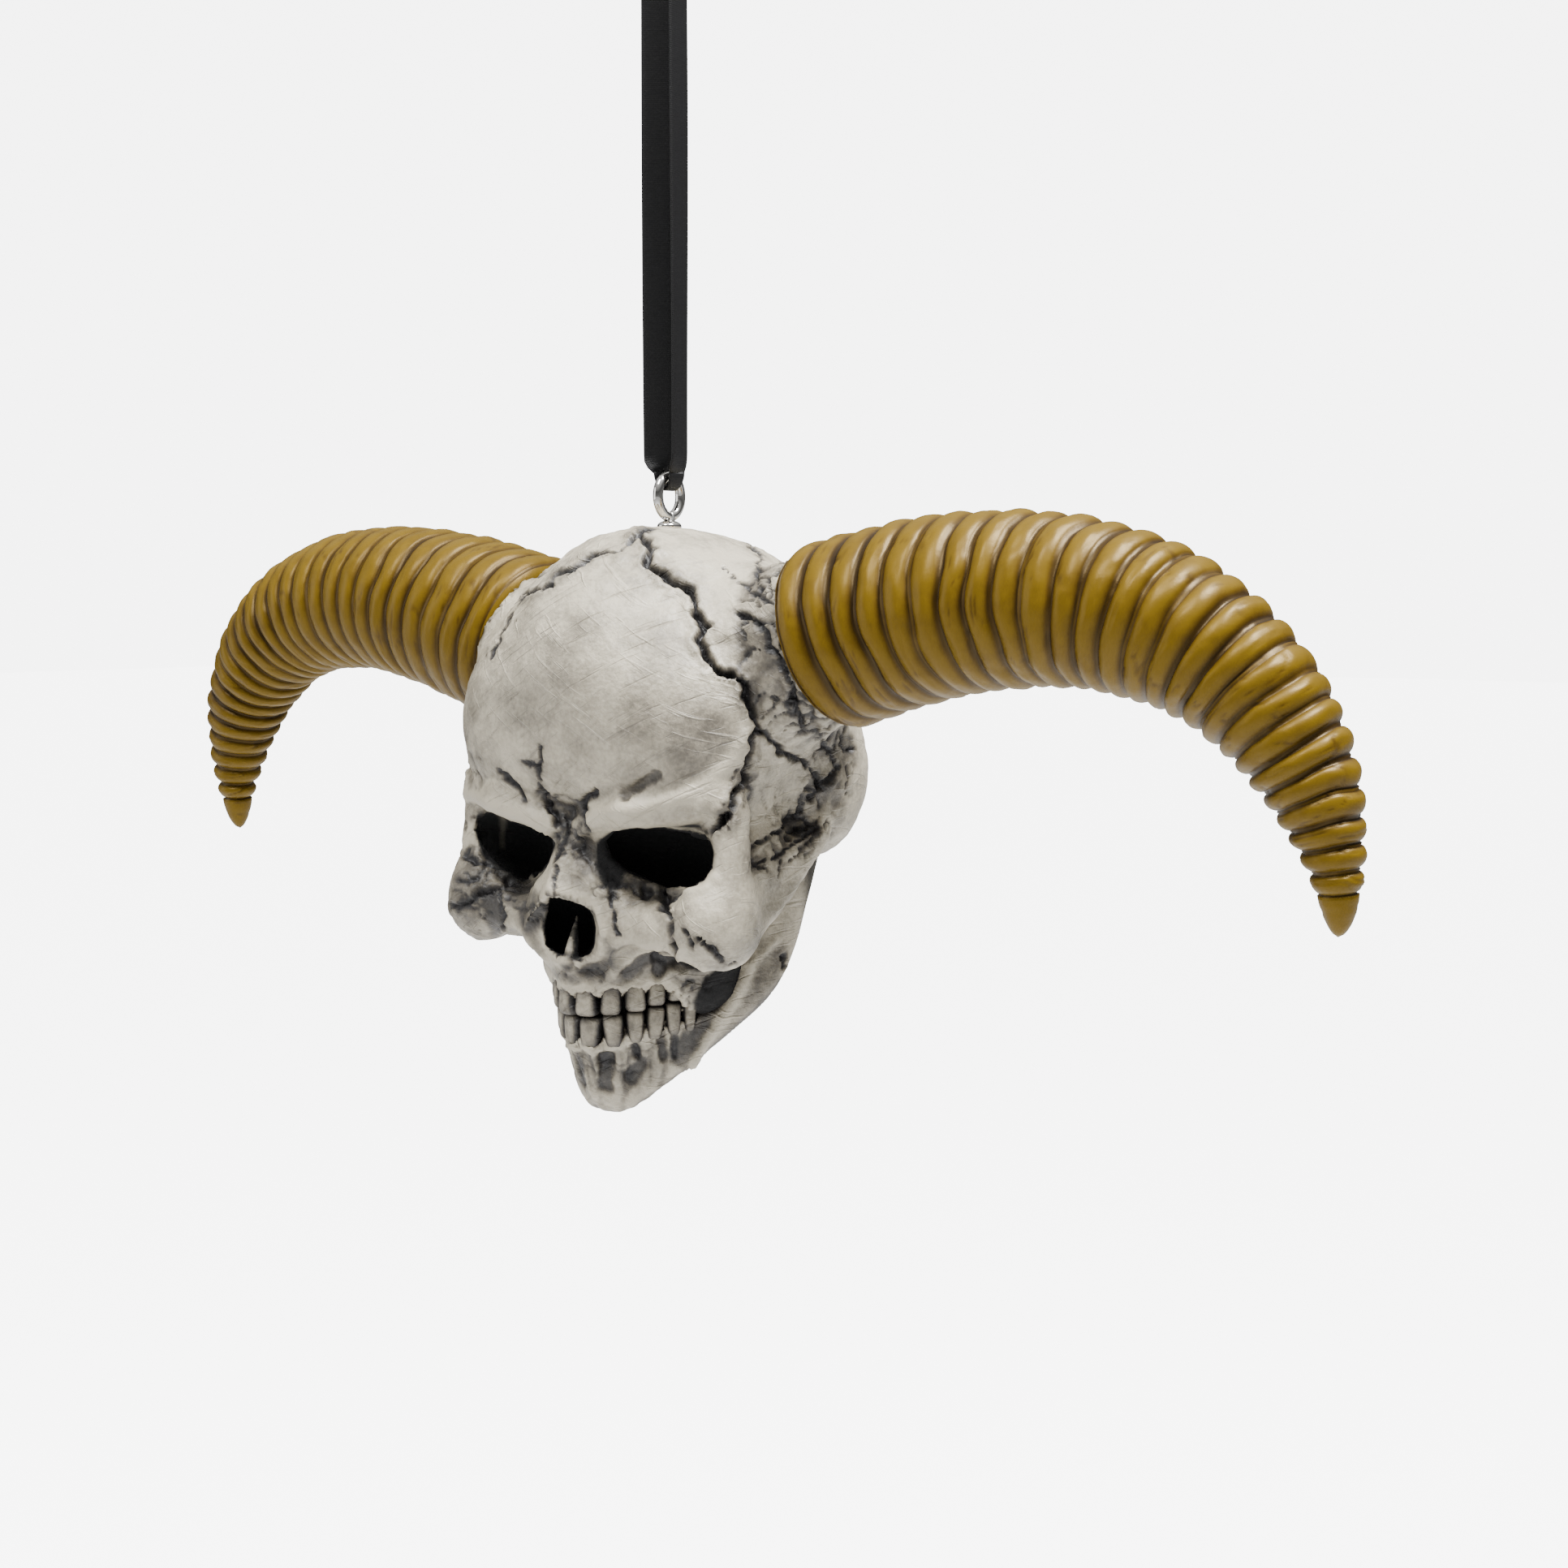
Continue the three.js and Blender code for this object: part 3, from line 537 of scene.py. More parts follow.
# Outlines of the two eye openings and the nose opening as the camera sees them
near_eye = [(746, 1036), (757, 1024), (786, 1019), (820, 1021), (852, 1026), (874, 1033), (880, 1052),
            (879, 1070), (870, 1084), (852, 1094), (830, 1096), (812, 1090), (790, 1083), (770, 1073),
            (753, 1056)]
far_eye = [(592, 1005), (606, 1000), (624, 1006), (646, 1014), (664, 1019), (681, 1028), (684, 1042),
           (677, 1062), (667, 1074), (650, 1084), (636, 1081), (620, 1070), (604, 1057), (593, 1041),
           (587, 1022)]
nose = [(678, 1104), (690, 1103), (704, 1107), (720, 1114), (730, 1120), (734, 1142), (732, 1164),
        (726, 1176), (715, 1181), (700, 1180), (686, 1174), (675, 1164), (672, 1142), (675, 1120)]
nose_spine = ([0.0, -11.2, -35.9], [0.1, -12.4, -40.4], [0.12, 0.75])


def opened(f, p, outline, at, radii, blend=0.5):
    """Cuts a pit into a form: the outline from the camera's place, as deep as the ball reaches."""
    reach = ball(p, at, radii)
    near = reach < 2
    spots, inside = seen(p[near]), np.zeros(near.sum(), bool)
    closed = outline + outline[:1]
    for (ax, ay), (bx, by) in zip(closed[:-1], closed[1:]):
        if ay != by:
            between = (spots[:, 1] < ay) != (spots[:, 1] < by)
            inside ^= between & (spots[:, 0] < ax + (spots[:, 1] - ay) * (bx - ax) / (by - ay))
    away = line_distance(spots, closed) / pixels_per_mm
    pit = np.maximum(np.where(inside, -away, away), reach[near])
    f[near] = cut(f[near], pit, blend)
    return f


def horn_measures(p):
    """Along and aside of each horn's line, near its root, in millimetres."""
    d = mirrored(p) - horn_place
    along = d @ horn_axis
    q = d - along[:, None] * horn_axis
    return along, np.sqrt((q * q).sum(1))


def tooth_places(side, scale):
    """Each tooth of one half row: its middle out and back, its turn and its width."""
    level, x = bite_height + side * 1.2, 0.0
    for n in range(6):
        step = 2.4 * scale * (1 - 0.07 * n)
        x += step / 2 / math.hypot(1, arch_flare * x / math.hypot(x, arch_round))
        reach = math.hypot(x, arch_round)
        y = arch_front + arch_lean * (arch_top - level) + arch_flare * (reach - arch_round)
        slope = arch_flare * x / reach
        yield x, y, math.atan(slope), step
        x += step / 2 / math.hypot(1, slope)


def tooth_bars(p, side, scale, length, inset, start, lean, pinch, widths, span):
    """A bar at each tooth, its start so far from the bite line, its widths shares of the tooth's."""
    f = np.full(len(p), 9.0)
    near = np.abs(above_bite(p)) < span
    q, nearest = p[near], np.full(near.sum(), 9.0)
    for x, y, turn, step in tooth_places(side, scale):
        x, y = x - inset * math.sin(turn), y + inset * math.cos(turn)
        foot = bite_height + bite_slope * (y - bite_front) + side * start
        tip = [x * pinch, y - lean * side * length, foot + side * length]
        nearest = np.minimum(nearest, bar(q, [x, y, foot], tip, [share * step for share in widths]))
    f[near] = nearest
    return f


def tooth_roots(p, side, scale, length):
    """The ridge that each tooth's root raises in the jaw, from the gum edge to its tip."""
    return tooth_bars(p, side, scale, length, inset=0.75, start=2.6, lean=arch_lean, pinch=0.97,
                      widths=(0.42, 0.22), span=9)


def tooth_sockets(p, side, scale):
    """The round-topped space of each tooth, which scallops the gum's edge."""
    return tooth_bars(p, side, scale, 2.1 * scale, inset=0.5, start=0.0, lean=0.0, pinch=1.0,
                      widths=(0.52, 0.42), span=6)


def built(f, p, forms):
    """Joins balls and bars to a form, or cuts them out of it, one after the other."""
    for change, shape, start, *size, blend in forms:
        f = change(f, shape(p, start, *size), blend)
    return f


# The forms of the left half, in millimetres: joined or cut, shape, place, size and blend
braincase = [
    (join, ball, [0, -1.5, -15.6], [13.6, 14, 15.2], 4),  # forehead
    (join, ball, [8.2, -4.8, -18.6], [9.0, 9.4, 10.0], 4),  # the forehead's corner
    (join, ball, [0, 4, -28], [11, 13, 6.5], 3),  # base
    (join, ball, [0, 17, -21], [8, 5.6, 6], 3),  # back of the head
    (join, ball, [10.5, 9.0, -24.0], [6.0, 7.5, 7.8], 3),  # behind the ear
    (cut, ball, [19.4, -3.4, -28.4], [4.6, 5.4, 4.4], 2),  # temple
]
face_bones = [
    (join, ball, [8.6, -2.6, -30.4], [7.2, 6.6, 6.4], 3),  # around the eye
    (join, ball, [0, -1, -34], [8, 8, 7], 3),  # behind the nose
    (join, ball, [0, -4, -37.6], [8.6, 8.4, 7.6], 3),  # upper jaw
    (join, bar, [3.4, -10.6, -28.4], [4.7, -11.0, -38.8], [1.7, 1.5], 2),  # beside the nose
    (join, bar, [15.4, -7.7, -26], [15.5, -8.2, -33.0], [1.9, 1.9], 1.6),  # outer rim of the eye
    (join, bar, [13.6, -9.2, -36.2], [5.4, -10.2, -37.0], [2.5, 2.4], 2),  # under the eye
    (join, ball, [14.6, -8.4, -35.6], [3.5, 3.9, 4.1], 1.6),  # cheekbone
]
cheek_arch = ([14.8, -6.4, -35.4], [15.2, 5.6, -29.0], [3.6, 1.4])
eye_bevel = ([7.6, -13.2, -30.4], [5.4, 3.6, 3.4])
brow = [
    (cut, ball, [7.4, -11.4, -40.2], [2.4, 1.8, 2.0], 1),  # hollow beside the nose
    (join, bar, [1.6, -11.9, -27.4], [8.0, -12.2, -25.6], [1.2, 1.8], 1.0),  # inner brow
    (join, bar, [8.0, -12.2, -25.6], [14.6, -8.4, -24.6], [1.8, 2.0], 1.0),  # outer brow
]
palate_hollow = ([0, -2, -46.4], [5, 6.4, 3.6])


def upper_skull(ps, holes=True):
    """The casting above the bite line, with its openings or as it is without them."""
    p = mirrored(ps)
    x, y, z = p.T
    f = built(ball(p, [0, 5.2, -16.4], [16, 17.4, 16]), p, braincase)
    along, aside = horn_measures(ps)
    root = np.where(ps[:, 0] > 0, left_root, right_root)
    f = join(f, common(aside - horn_socket, np.maximum(along + root + 0.1, -along - 10), 1), 4)
    f = built(f, p, face_bones)
    f = join(f, common(bar(p, *cheek_arch), np.abs(x - 14.9) - 1.4, 1), 1.6)
    edge = 1.7 + 1.6 * ramp(y, -9, -2)
    gum = np.maximum(np.maximum(edge - above_bite(p), z - gum_top), x - gum_side)
    f = join(f, common(outside_jaw(p, z) + 0.15, gum, 0.8), 1.6)
    f = join(f, ball(p, [7.6, -2.0, -41.2], [3.2, 5, 4.6]), 1.2)
    f = join(f, tooth_roots(p, 1, upper_scale, 4.6), 0.7)
    f = cut(f, tooth_sockets(p, 1, upper_scale), 0.3)
    if holes:
        f = cut(f, ball(p, *eye_bevel), 1.4)
    # The nasal bones make a low roof, which ends above the nose opening
    ridge = -12.0 + 0.636 * (z + 27.9) + 0.98 * (np.sqrt(x * x + 0.3) - 0.3)
    roof = (ridge - y) / 1.54
    ends = np.maximum(np.maximum((-33.6 - 0.6 * x - z) / 1.17, z + 26.0), x - 4.6)
    f = join(f, common(common(roof, ends, 0.3), -roof - 4.0, 1), 1.2)
    f = built(f, p, brow)
    if holes:
        f = opened(f, ps, near_eye, [9.1, -10.4, -30.6], [8.0, 6.4, 6.0])
        f = opened(f, ps, far_eye, [-8.9, -10.4, -30.6], [6.6, 6.4, 6.0])
        f = opened(f, ps, nose, [0, -11.4, -37.0], [6.0, 4.6, 6.0])
        f = join(f, bar(ps, *nose_spine), 0.4)
    f = cut(f, ball(p, *palate_hollow), 1.2)
    if holes:
        # A wall behind the teeth closes the gaps between them, and is painted black as the shade in the mouth
        face = outside_jaw(p, z)
        wall = np.maximum(np.maximum(face + 1.5, -face - 3.0), np.maximum(x - 9.4, -3.2 - above_bite(p)))
        f = np.minimum(f, np.maximum(wall, z + 42))
    return f


jaw_straight, jaw_thickness, jaw_side = -43.0, 3.4, 13.4
chin_height, chin_slope, branch_slope = -55.35, 1.1, 0.42


def lower_jaw(ps):
    """The body of the lower jaw with its sloping lower edge, and a branch up each side."""
    p = mirrored(ps)
    x, y, z = p.T
    outside = common(outside_jaw(p, np.minimum(z, jaw_straight)) + 0.2, x - jaw_side, 2)
    edge = chin_height + chin_slope * np.maximum(0, y + 7.2)
    back = branch_slope * (z - jaw_straight)
    branch = common(back - 1.0 - y, z + 30, 1.5)
    f = common(outside, -outside - jaw_thickness, 1.2)
    f = common(f, join(above_bite(p) + 1.7, branch, 1.5), 0.8)
    f = common(f, (edge - z) / np.hypot(1, chin_slope), 2)
    f = join(common(f, y - 4.2 - back, 1.5), tooth_roots(p, -1, lower_scale, 3.6), 0.7)
    return cut(f, tooth_sockets(p, -1, lower_scale), 0.3)


def drawn_onto(form, p, passes=4):
    """Moves points onto the form's surface; gives their places and the surface's slope there."""
    reach = 0.04

    def rise(p):
        return np.stack([form(p + probe) - form(p - probe) for probe in reach * np.eye(3)], 1)

    for _ in range(passes):
        slope = rise(p) / (2 * reach)
        step = np.clip(form(p) / np.maximum(0.25, (slope * slope).sum(1)), -0.2, 0.2)
        p = p - slope * step[:, None]
    slope = rise(p)
    return p, slope / (np.linalg.norm(slope, axis=1)[:, None] + 1e-9)


def skin_over(form, low, high, cell):
    """Corners and four-sided faces of the form's surface, one corner in each cell it crosses."""
    low, block = np.array(low, float), 6
    counts = (np.ceil((np.array(high) - low) / cell / block).astype(int)) * block
    coarse = np.stack(np.meshgrid(*[np.arange(n // block) for n in counts], indexing="ij"), -1)
    coarse = coarse.reshape(-1, 3)
    middle = low + (coarse + 0.5) * block * cell
    value = form(middle)
    near = np.abs(value) < block * cell * 1.3
    depth = np.sign(value).reshape(*(counts // block)).astype(float)
    for axis in range(3):
        depth = np.repeat(depth, block, axis)
    inner = np.stack(np.meshgrid(*[np.arange(block)] * 3, indexing="ij"), -1).reshape(-1, 3)
    spots = (coarse[near][:, None] * block + inner[None]).reshape(-1, 3)
    depth[spots[:, 0], spots[:, 1], spots[:, 2]] = form(low + spots * cell)
    depth[0], depth[-1], depth[:, 0], depth[:, -1], depth[:, :, 0], depth[:, :, -1] = (9.0,) * 6
    keys, sums, faces = [], [], []
    size = np.array(depth.shape)
    flat = lambda s: (s[:, 0] * size[1] + s[:, 1]) * size[2] + s[:, 2]
    for axis in range(3):
        step = np.eye(3, dtype=int)[axis]
        start = depth[tuple(slice(0, size[k] - step[k]) for k in range(3))]
        end = depth[tuple(slice(step[k], size[k]) for k in range(3))]
        s = np.argwhere((start < 0) != (end < 0))
        a = depth[tuple(s.T)]
        b = depth[tuple((s + step).T)]
        point = low + (s + (a / (a - b))[:, None] * step) * cell
        e1, e2 = np.eye(3, dtype=int)[(axis + 1) % 3], np.eye(3, dtype=int)[(axis + 2) % 3]
        around = np.stack([flat(s), flat(s - e1), flat(s - e1 - e2), flat(s - e2)], 1)
        around[a >= 0] = around[a >= 0][:, ::-1]
        faces.append(around)
        for k in range(4):
            keys.append(around[:, k])
            sums.append(point)
    keys, faces = np.concatenate(keys), np.concatenate(faces)
    corners, place = np.unique(keys, return_inverse=True)
    total = np.zeros((len(corners), 3))
    np.add.at(total, place, np.concatenate(sums))
    count = np.bincount(place)
    return total / count[:, None], np.searchsorted(corners, faces)


# Marks as they lie in the camera's view. Cracks: half-width, depth and lip height in millimetres
cracks = [
    (0.46, 1.15, 0.30, [(786, 660), (797, 670), (803, 680), (795, 692), (807, 702), (823, 715), (840, 723),
                        (855, 733), (857, 753), (868, 770), (863, 790), (868, 807), (880, 822), (903, 833),
                        (920, 847), (923, 867), (932, 893), (925, 907), (923, 933), (917, 960), (905, 977),
                        (900, 1000), (888, 1010), (876, 1025)]),
    (0.40, 0.85, 0.22, [(932, 902), (953, 913), (963, 927), (983, 933), (1000, 950), (1010, 968)]),
    (0.34, 0.75, 0.18, [(785, 665), (767, 677), (747, 683), (720, 690), (707, 700), (690, 707), (680, 718),
                        (663, 727), (647, 733)]),
    (0.16, 0.35, 0.05, [(647, 733), (623, 773), (603, 807)]),
    (0.22, 0.40, 0.08, [(785, 660), (797, 656), (810, 654)]),
    (0.22, 0.55, 0.12, [(922, 670), (937, 685), (933, 707), (937, 722), (943, 740)]),
    (0.20, 0.45, 0.12, [(890, 703), (910, 717), (930, 730), (945, 741)]),
    (0.34, 0.65, 0.15, [(908, 755), (927, 762), (945, 777), (948, 800), (960, 818), (970, 837), (980, 873),
                        (987, 890)]),
    (0.40, 0.60, 0.14, [(734, 973), (724, 982), (720, 992), (718, 1006), (722, 1020)]),
    (0.40, 0.80, 0.16, [(667, 972), (674, 984), (680, 998), (688, 1013)]),
    (0.24, 0.60, 0.12, [(667, 921), (665, 940), (666, 955), (668, 972)]),
    (0.20, 0.40, 0.08, [(664, 944), (654, 941), (642, 935)]),
    (0.36, 0.50, 0.12, [(617, 951), (628, 962), (640, 972), (650, 986)]),
    (0.22, 0.40, 0.03, [(701, 1023), (694, 1045), (686, 1075), (681, 1098)]),
    (0.20, 0.45, 0.06, [(749, 1075), (752, 1096), (756, 1112), (757, 1135), (760, 1152)]),
    (0.62, 1.20, 0.14, [(819, 1094), (820, 1106), (822, 1117)]),
    (0.30, 1.00, 0.18, [(822, 1117), (827, 1132), (829, 1148), (836, 1172)]),
    (0.36, 0.80, 0.10, [(846, 1148), (849, 1158), (852, 1166)]),
    (0.30, 0.70, 0.12, [(862, 1158), (868, 1164), (878, 1170), (889, 1184)]),
    (0.20, 0.50, 0.05, [(895, 1188), (904, 1187)]),
    (0.20, 0.45, 0.05, [(930, 1066), (949, 1058), (972, 1045), (992, 1030), (1006, 1018)]),
    (0.26, 0.55, 0.08, [(935, 1040), (956, 1026), (975, 1010), (990, 990)]),
    (0.24, 0.45, 0.08, [(1006, 900), (1018, 925), (1030, 945), (1012, 965), (1000, 985)]),
    (0.34, 0.70, 0.16, [(559, 1119), (576, 1112), (594, 1100), (608, 1093), (627, 1087)]),
    (0.26, 0.60, 0.12, [(615, 1098), (619, 1124), (618, 1145)]),
    (0.30, 0.50, 0.12, [(572, 1052), (584, 1064), (598, 1062), (612, 1072)]),
    (0.26, 0.45, 0.10, [(566, 1085), (580, 1090), (590, 1080)]),
    (0.30, 0.60, 0.08, [(966, 1176), (968, 1188)]),
    (0.26, 0.50, 0.06, [(884, 1300), (898, 1289), (912, 1278)]),
]
# Ridges, which the wash was wiped from: half-width and height in millimetres
ridges = [
    (0.75, 0.42, [(728, 1010), (745, 1002), (775, 997), (815, 990), (850, 978), (880, 960), (903, 937),
                  (917, 908)]),
    (0.60, 0.30, [(567, 975), (590, 985), (620, 998), (650, 1006), (676, 1020)]),
    (0.35, 0.30, [(731, 991), (737, 999)]),
    (0.40, 0.30, [(696, 1024), (688, 1055), (676, 1095)]),
    (0.30, 0.25, [(679, 1103), (704, 1106), (722, 1114), (732, 1120)]),
    (0.30, 0.30, [(673, 1110), (669, 1140), (672, 1166), (684, 1182), (715, 1189), (738, 1182), (742, 1150),
                  (738, 1122)]),
    (0.45, 0.30, [(828, 1098), (850, 1100), (868, 1096), (880, 1082)]),
    (0.40, 0.22, [(838, 1176), (852, 1187), (882, 1197), (910, 1192), (937, 1179), (957, 1158)]),
    (0.45, 0.28, [(757, 1205), (768, 1186), (792, 1171), (816, 1166), (838, 1172)]),
    (0.28, 0.30, [(690, 1215), (704, 1222), (722, 1216), (740, 1226), (762, 1217), (781, 1222), (800, 1208),
                  (812, 1211), (826, 1196), (840, 1202), (852, 1192), (868, 1194)]),
    (0.28, 0.25, [(700, 1288), (716, 1284), (730, 1293), (750, 1291), (772, 1282), (790, 1278), (808, 1262),
                  (830, 1262)]),
    (0.20, 0.30, [(706, 1287), (716, 1304), (722, 1322), (733, 1350)]),
    (0.18, 0.28, [(729, 1292), (735, 1318), (736, 1352)]),
    (0.50, 0.30, [(925, 1190), (905, 1230), (885, 1262), (860, 1295), (850, 1320)]),
    (0.40, 0.18, [(828, 1340), (850, 1322), (864, 1312), (890, 1296)]),
    (0.30, 0.22, [(890, 700), (905, 712)]),
]
# Hollows that hold the wash, darkened also with painted shade: half-width and depth in millimetres, and how dark
hollows = [
    (0.50, 0.45, 0.34, [(770, 979), (784, 972), (798, 963), (808, 958)]),
    (1.60, 0.35, 0.10, [(890, 806), (915, 811), (936, 806)]),
    (1.50, 0.10, 0.10, [(845, 938), (870, 925), (885, 905)]),
    (0.70, 0.22, 0.22, [(722, 1040), (732, 1062), (748, 1080), (772, 1090)]),
    (0.60, 0.32, 0.30, [(776, 1203), (786, 1188), (806, 1179), (826, 1182)]),
    (0.50, 0.30, 0.45, [(812, 1186), (811, 1198)]),
    (0.60, 0.32, 0.28, [(722, 1196), (738, 1198), (752, 1178)]),
    (0.65, 0.35, 0.45, [(746, 1303), (746, 1318), (747, 1338)]),
    (0.35, 0.50, 0.90, [(782, 1292), (784, 1302)]),
    (0.65, 0.35, 0.45, [(790, 1312), (778, 1330)]),
    (0.40, 0.30, 0.50, [(814, 1272), (816, 1302)]),
    (0.30, 0.30, 0.60, [(829, 1270), (832, 1300)]),
    (0.35, 0.25, 0.45, [(712, 1300), (720, 1335)]),
    (1.00, 0.10, 0.50, [(880, 1225), (866, 1250), (850, 1280), (838, 1300)]),
    (1.20, 0.10, 0.25, [(948, 1170), (945, 1215), (920, 1260), (890, 1290)]),
    (0.70, 0.30, 0.45, [(600, 1100), (606, 1125), (612, 1142)]),
    (1.20, 0.20, 0.28, [(640, 1100), (655, 1130), (668, 1160)]),
]
# Rough, scaly places: half-width in millimetres and how rough
scaly = [
    (1.1, 1.0, [(978, 690), (990, 760), (1004, 830), (1022, 885), (1045, 930)]),
    (2.2, 0.9, [(1030, 930), (1012, 985), (985, 1025), (950, 1058)]),
    (2.6, 0.5, [(575, 1030), (592, 1075), (590, 1110)]),
    (1.6, 0.5, [(628, 1092), (650, 1110), (660, 1130)]),
    (1.2, 0.8, [(744, 1082), (762, 1096), (790, 1100)]),
    (1.2, 0.6, [(895, 1010), (910, 985), (914, 960)]),
    (1.2, 0.5, [(690, 992), (715, 1000)]),
    (0.9, 0.6, [(580, 935), (587, 960)]),
    (1.8, 0.45, [(705, 1030), (722, 1070), (735, 1090)]),
    (1.6, 0.5, [(700, 1196), (725, 1204), (760, 1206)]),
    (1.5, 0.6, [(840, 1205), (858, 1215), (850, 1260)]),
    (2.0, 0.4, [(700, 1300), (740, 1320), (800, 1310)]),
]


def framed(mesh, places, **values):
    """Puts a mesh's points in their places in the scene's frame, and gives them named values."""
    mesh.vertices.foreach_set("co", ((places - crown_height) / 1000).ravel())
    for key, value in values.items():
        mesh.attributes.new(key, "FLOAT", "POINT").data.foreach_set("value", value)


def detailed(form, low, high, cell, name, node, relief):
    """A piece of the skull: its skin, the relief laid on it, how dark the wash lies there, and the black painted where
    shade lies deep.
    """
    corners, faces = skin_over(form, low, high, cell)
    corners, normals = drawn_onto(form, corners)
    lift, wash, pit = relief(corners, normals)
    occlusion = np.zeros(len(corners))
    for reach, weight in ((0.5, 0.5), (1.2, 0.45), (2.6, 0.4)):
        occlusion += weight * np.clip(1 - form(corners + normals * reach) / reach, 0, 1.2)
    # Deep hollows are painted black as well, for the shade that falls in them
    pit = np.maximum(pit, ramp(form(corners + normals * 5) / 5, 0.36, 0.12))
    worn = np.clip(1 + form(corners - normals * 0.9) / 0.9, 0, 1)
    wash = np.clip(wash + ramp(occlusion, 0.10, 1.1) - 0.5 * worn, -0.15, 1.3)
    mesh = bpy.data.meshes.new(name)
    mesh.vertices.add(len(corners))
    framed(mesh, corners + normals * lift[:, None], wash=wash, pit=pit)
    mesh.loops.add(faces.size)
    mesh.loops.foreach_set("vertex_index", faces.ravel())
    mesh.polygons.add(len(faces))
    mesh.polygons.foreach_set("loop_start", np.arange(0, faces.size, 4))
    mesh.update(calc_edges=True)
    mesh.validate()
    mesh.polygons.foreach_set("use_smooth", np.ones(len(mesh.polygons), bool))
    mesh.materials.append(resin)
    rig.replaces(fixed(name, mesh, "bone"), node)


# The paint: pale where the wash is thin, dark where it lies thick, with mottling, specks and fine
# scratches, some of them wiped pale and some holding wash. Pits are painted black for the shade deep in them.
resin, tree, shader = finish("washed_resin", {"Specular IOR Level": 0.45})
scratch_width = 0.00045
place = added(tree, "TexCoord")
wash_value = added(tree, "Attribute", attribute_name="wash")
pit_shade_value = added(tree, "Attribute", attribute_name="pit")
mottle = added(tree, "TexNoise", {"Scale": 260.0, "Detail": 8.0, "Roughness": 0.62})
speck = added(tree, "TexNoise", {"Scale": 2400.0, "Detail": 4.0})
scratches = []
for turn, length in (((0.25, 0.55, 0.1), 0.0075), ((-0.2, -0.5, 0.3), 0.0060)):
    direction = added(tree, "Mapping", vector_type="TEXTURE")
    adjusted(direction, {"Rotation": turn, "Scale": (length, length, scratch_width)})
    lines = added(tree, "TexNoise", {"Scale": 1.0, "Detail": 3.0})
    scored = added(tree, "MapRange", {"From Min": 0.60, "From Max": 0.74})
    wired(tree, (place, "Object", direction, "Vector"), (direction, "Vector", lines, "Vector"),
          (lines, "Fac", scored, "Value"))
    scratches.append(scored)
wiped, filled = scratches
mixed = added(tree, "Math", {1: 0.7, 2: -0.43}, operation="MULTIPLY_ADD")
summed = added(tree, "Math", operation="ADD")
brightened = added(tree, "Math", {1: -0.09}, operation="MULTIPLY_ADD")
darkened = added(tree, "Math", {1: 0.06}, operation="MULTIPLY_ADD")
speckled = added(tree, "Math", {1: 0.30}, operation="MULTIPLY_ADD")
heights = added(tree, "Math", operation="SUBTRACT")
textured = added(tree, "Math", operation="ADD")
shades = added(tree, "ValToRGB")
shaded(shades.color_ramp, [(0.0, (0.42, 0.378, 0.290)), (0.18, (0.27, 0.241, 0.184)),
                           (0.38, (0.125, 0.110, 0.084)), (0.62, (0.042, 0.037, 0.030)),
                           (1.0, (0.012, 0.011, 0.011))])
# The pit value mixes in black: painted shade for the deep openings
shade_blackened = added(tree, "Mix", data_type="RGBA")
adjusted(shade_blackened, {"B": (0.006, 0.006, 0.006, 1)})
rough = added(tree, "MapRange", {"To Min": 0.36, "To Max": 0.58})
duller = added(tree, "Math", operation="MAXIMUM")
fine = added(tree, "Bump", {"Strength": 0.7, "Distance": 0.00014})
wired(tree, (place, "Object", mottle, "Vector"), (place, "Object", speck, "Vector"),
      (mottle, "Fac", mixed, 0), (wash_value, "Fac", summed, 0), (mixed, "Value", summed, 1),
      (wiped, "Result", brightened, 0), (summed, "Value", brightened, 2),
      (filled, "Result", darkened, 0), (brightened, "Value", darkened, 2),
      (speck, "Fac", speckled, 0), (darkened, "Value", speckled, 2),
      (speckled, "Value", shades, "Fac"), (shades, "Color", shade_blackened, "A"),
      (pit_shade_value, "Fac", shade_blackened, "Factor"), (shade_blackened, "Result", shader, "Base Color"),
      (mottle, "Fac", rough, "Value"), (rough, "Result", duller, 0), (pit_shade_value, "Fac", duller, 1),
      (duller, "Value", shader, "Roughness"),
      (wiped, "Result", heights, 0), (filled, "Result", heights, 1), (speck, "Fac", textured, 0),
      (heights, "Value", textured, 1), (textured, "Value", fine, "Height"),
      (fine, "Normal", shader, "Normal"))


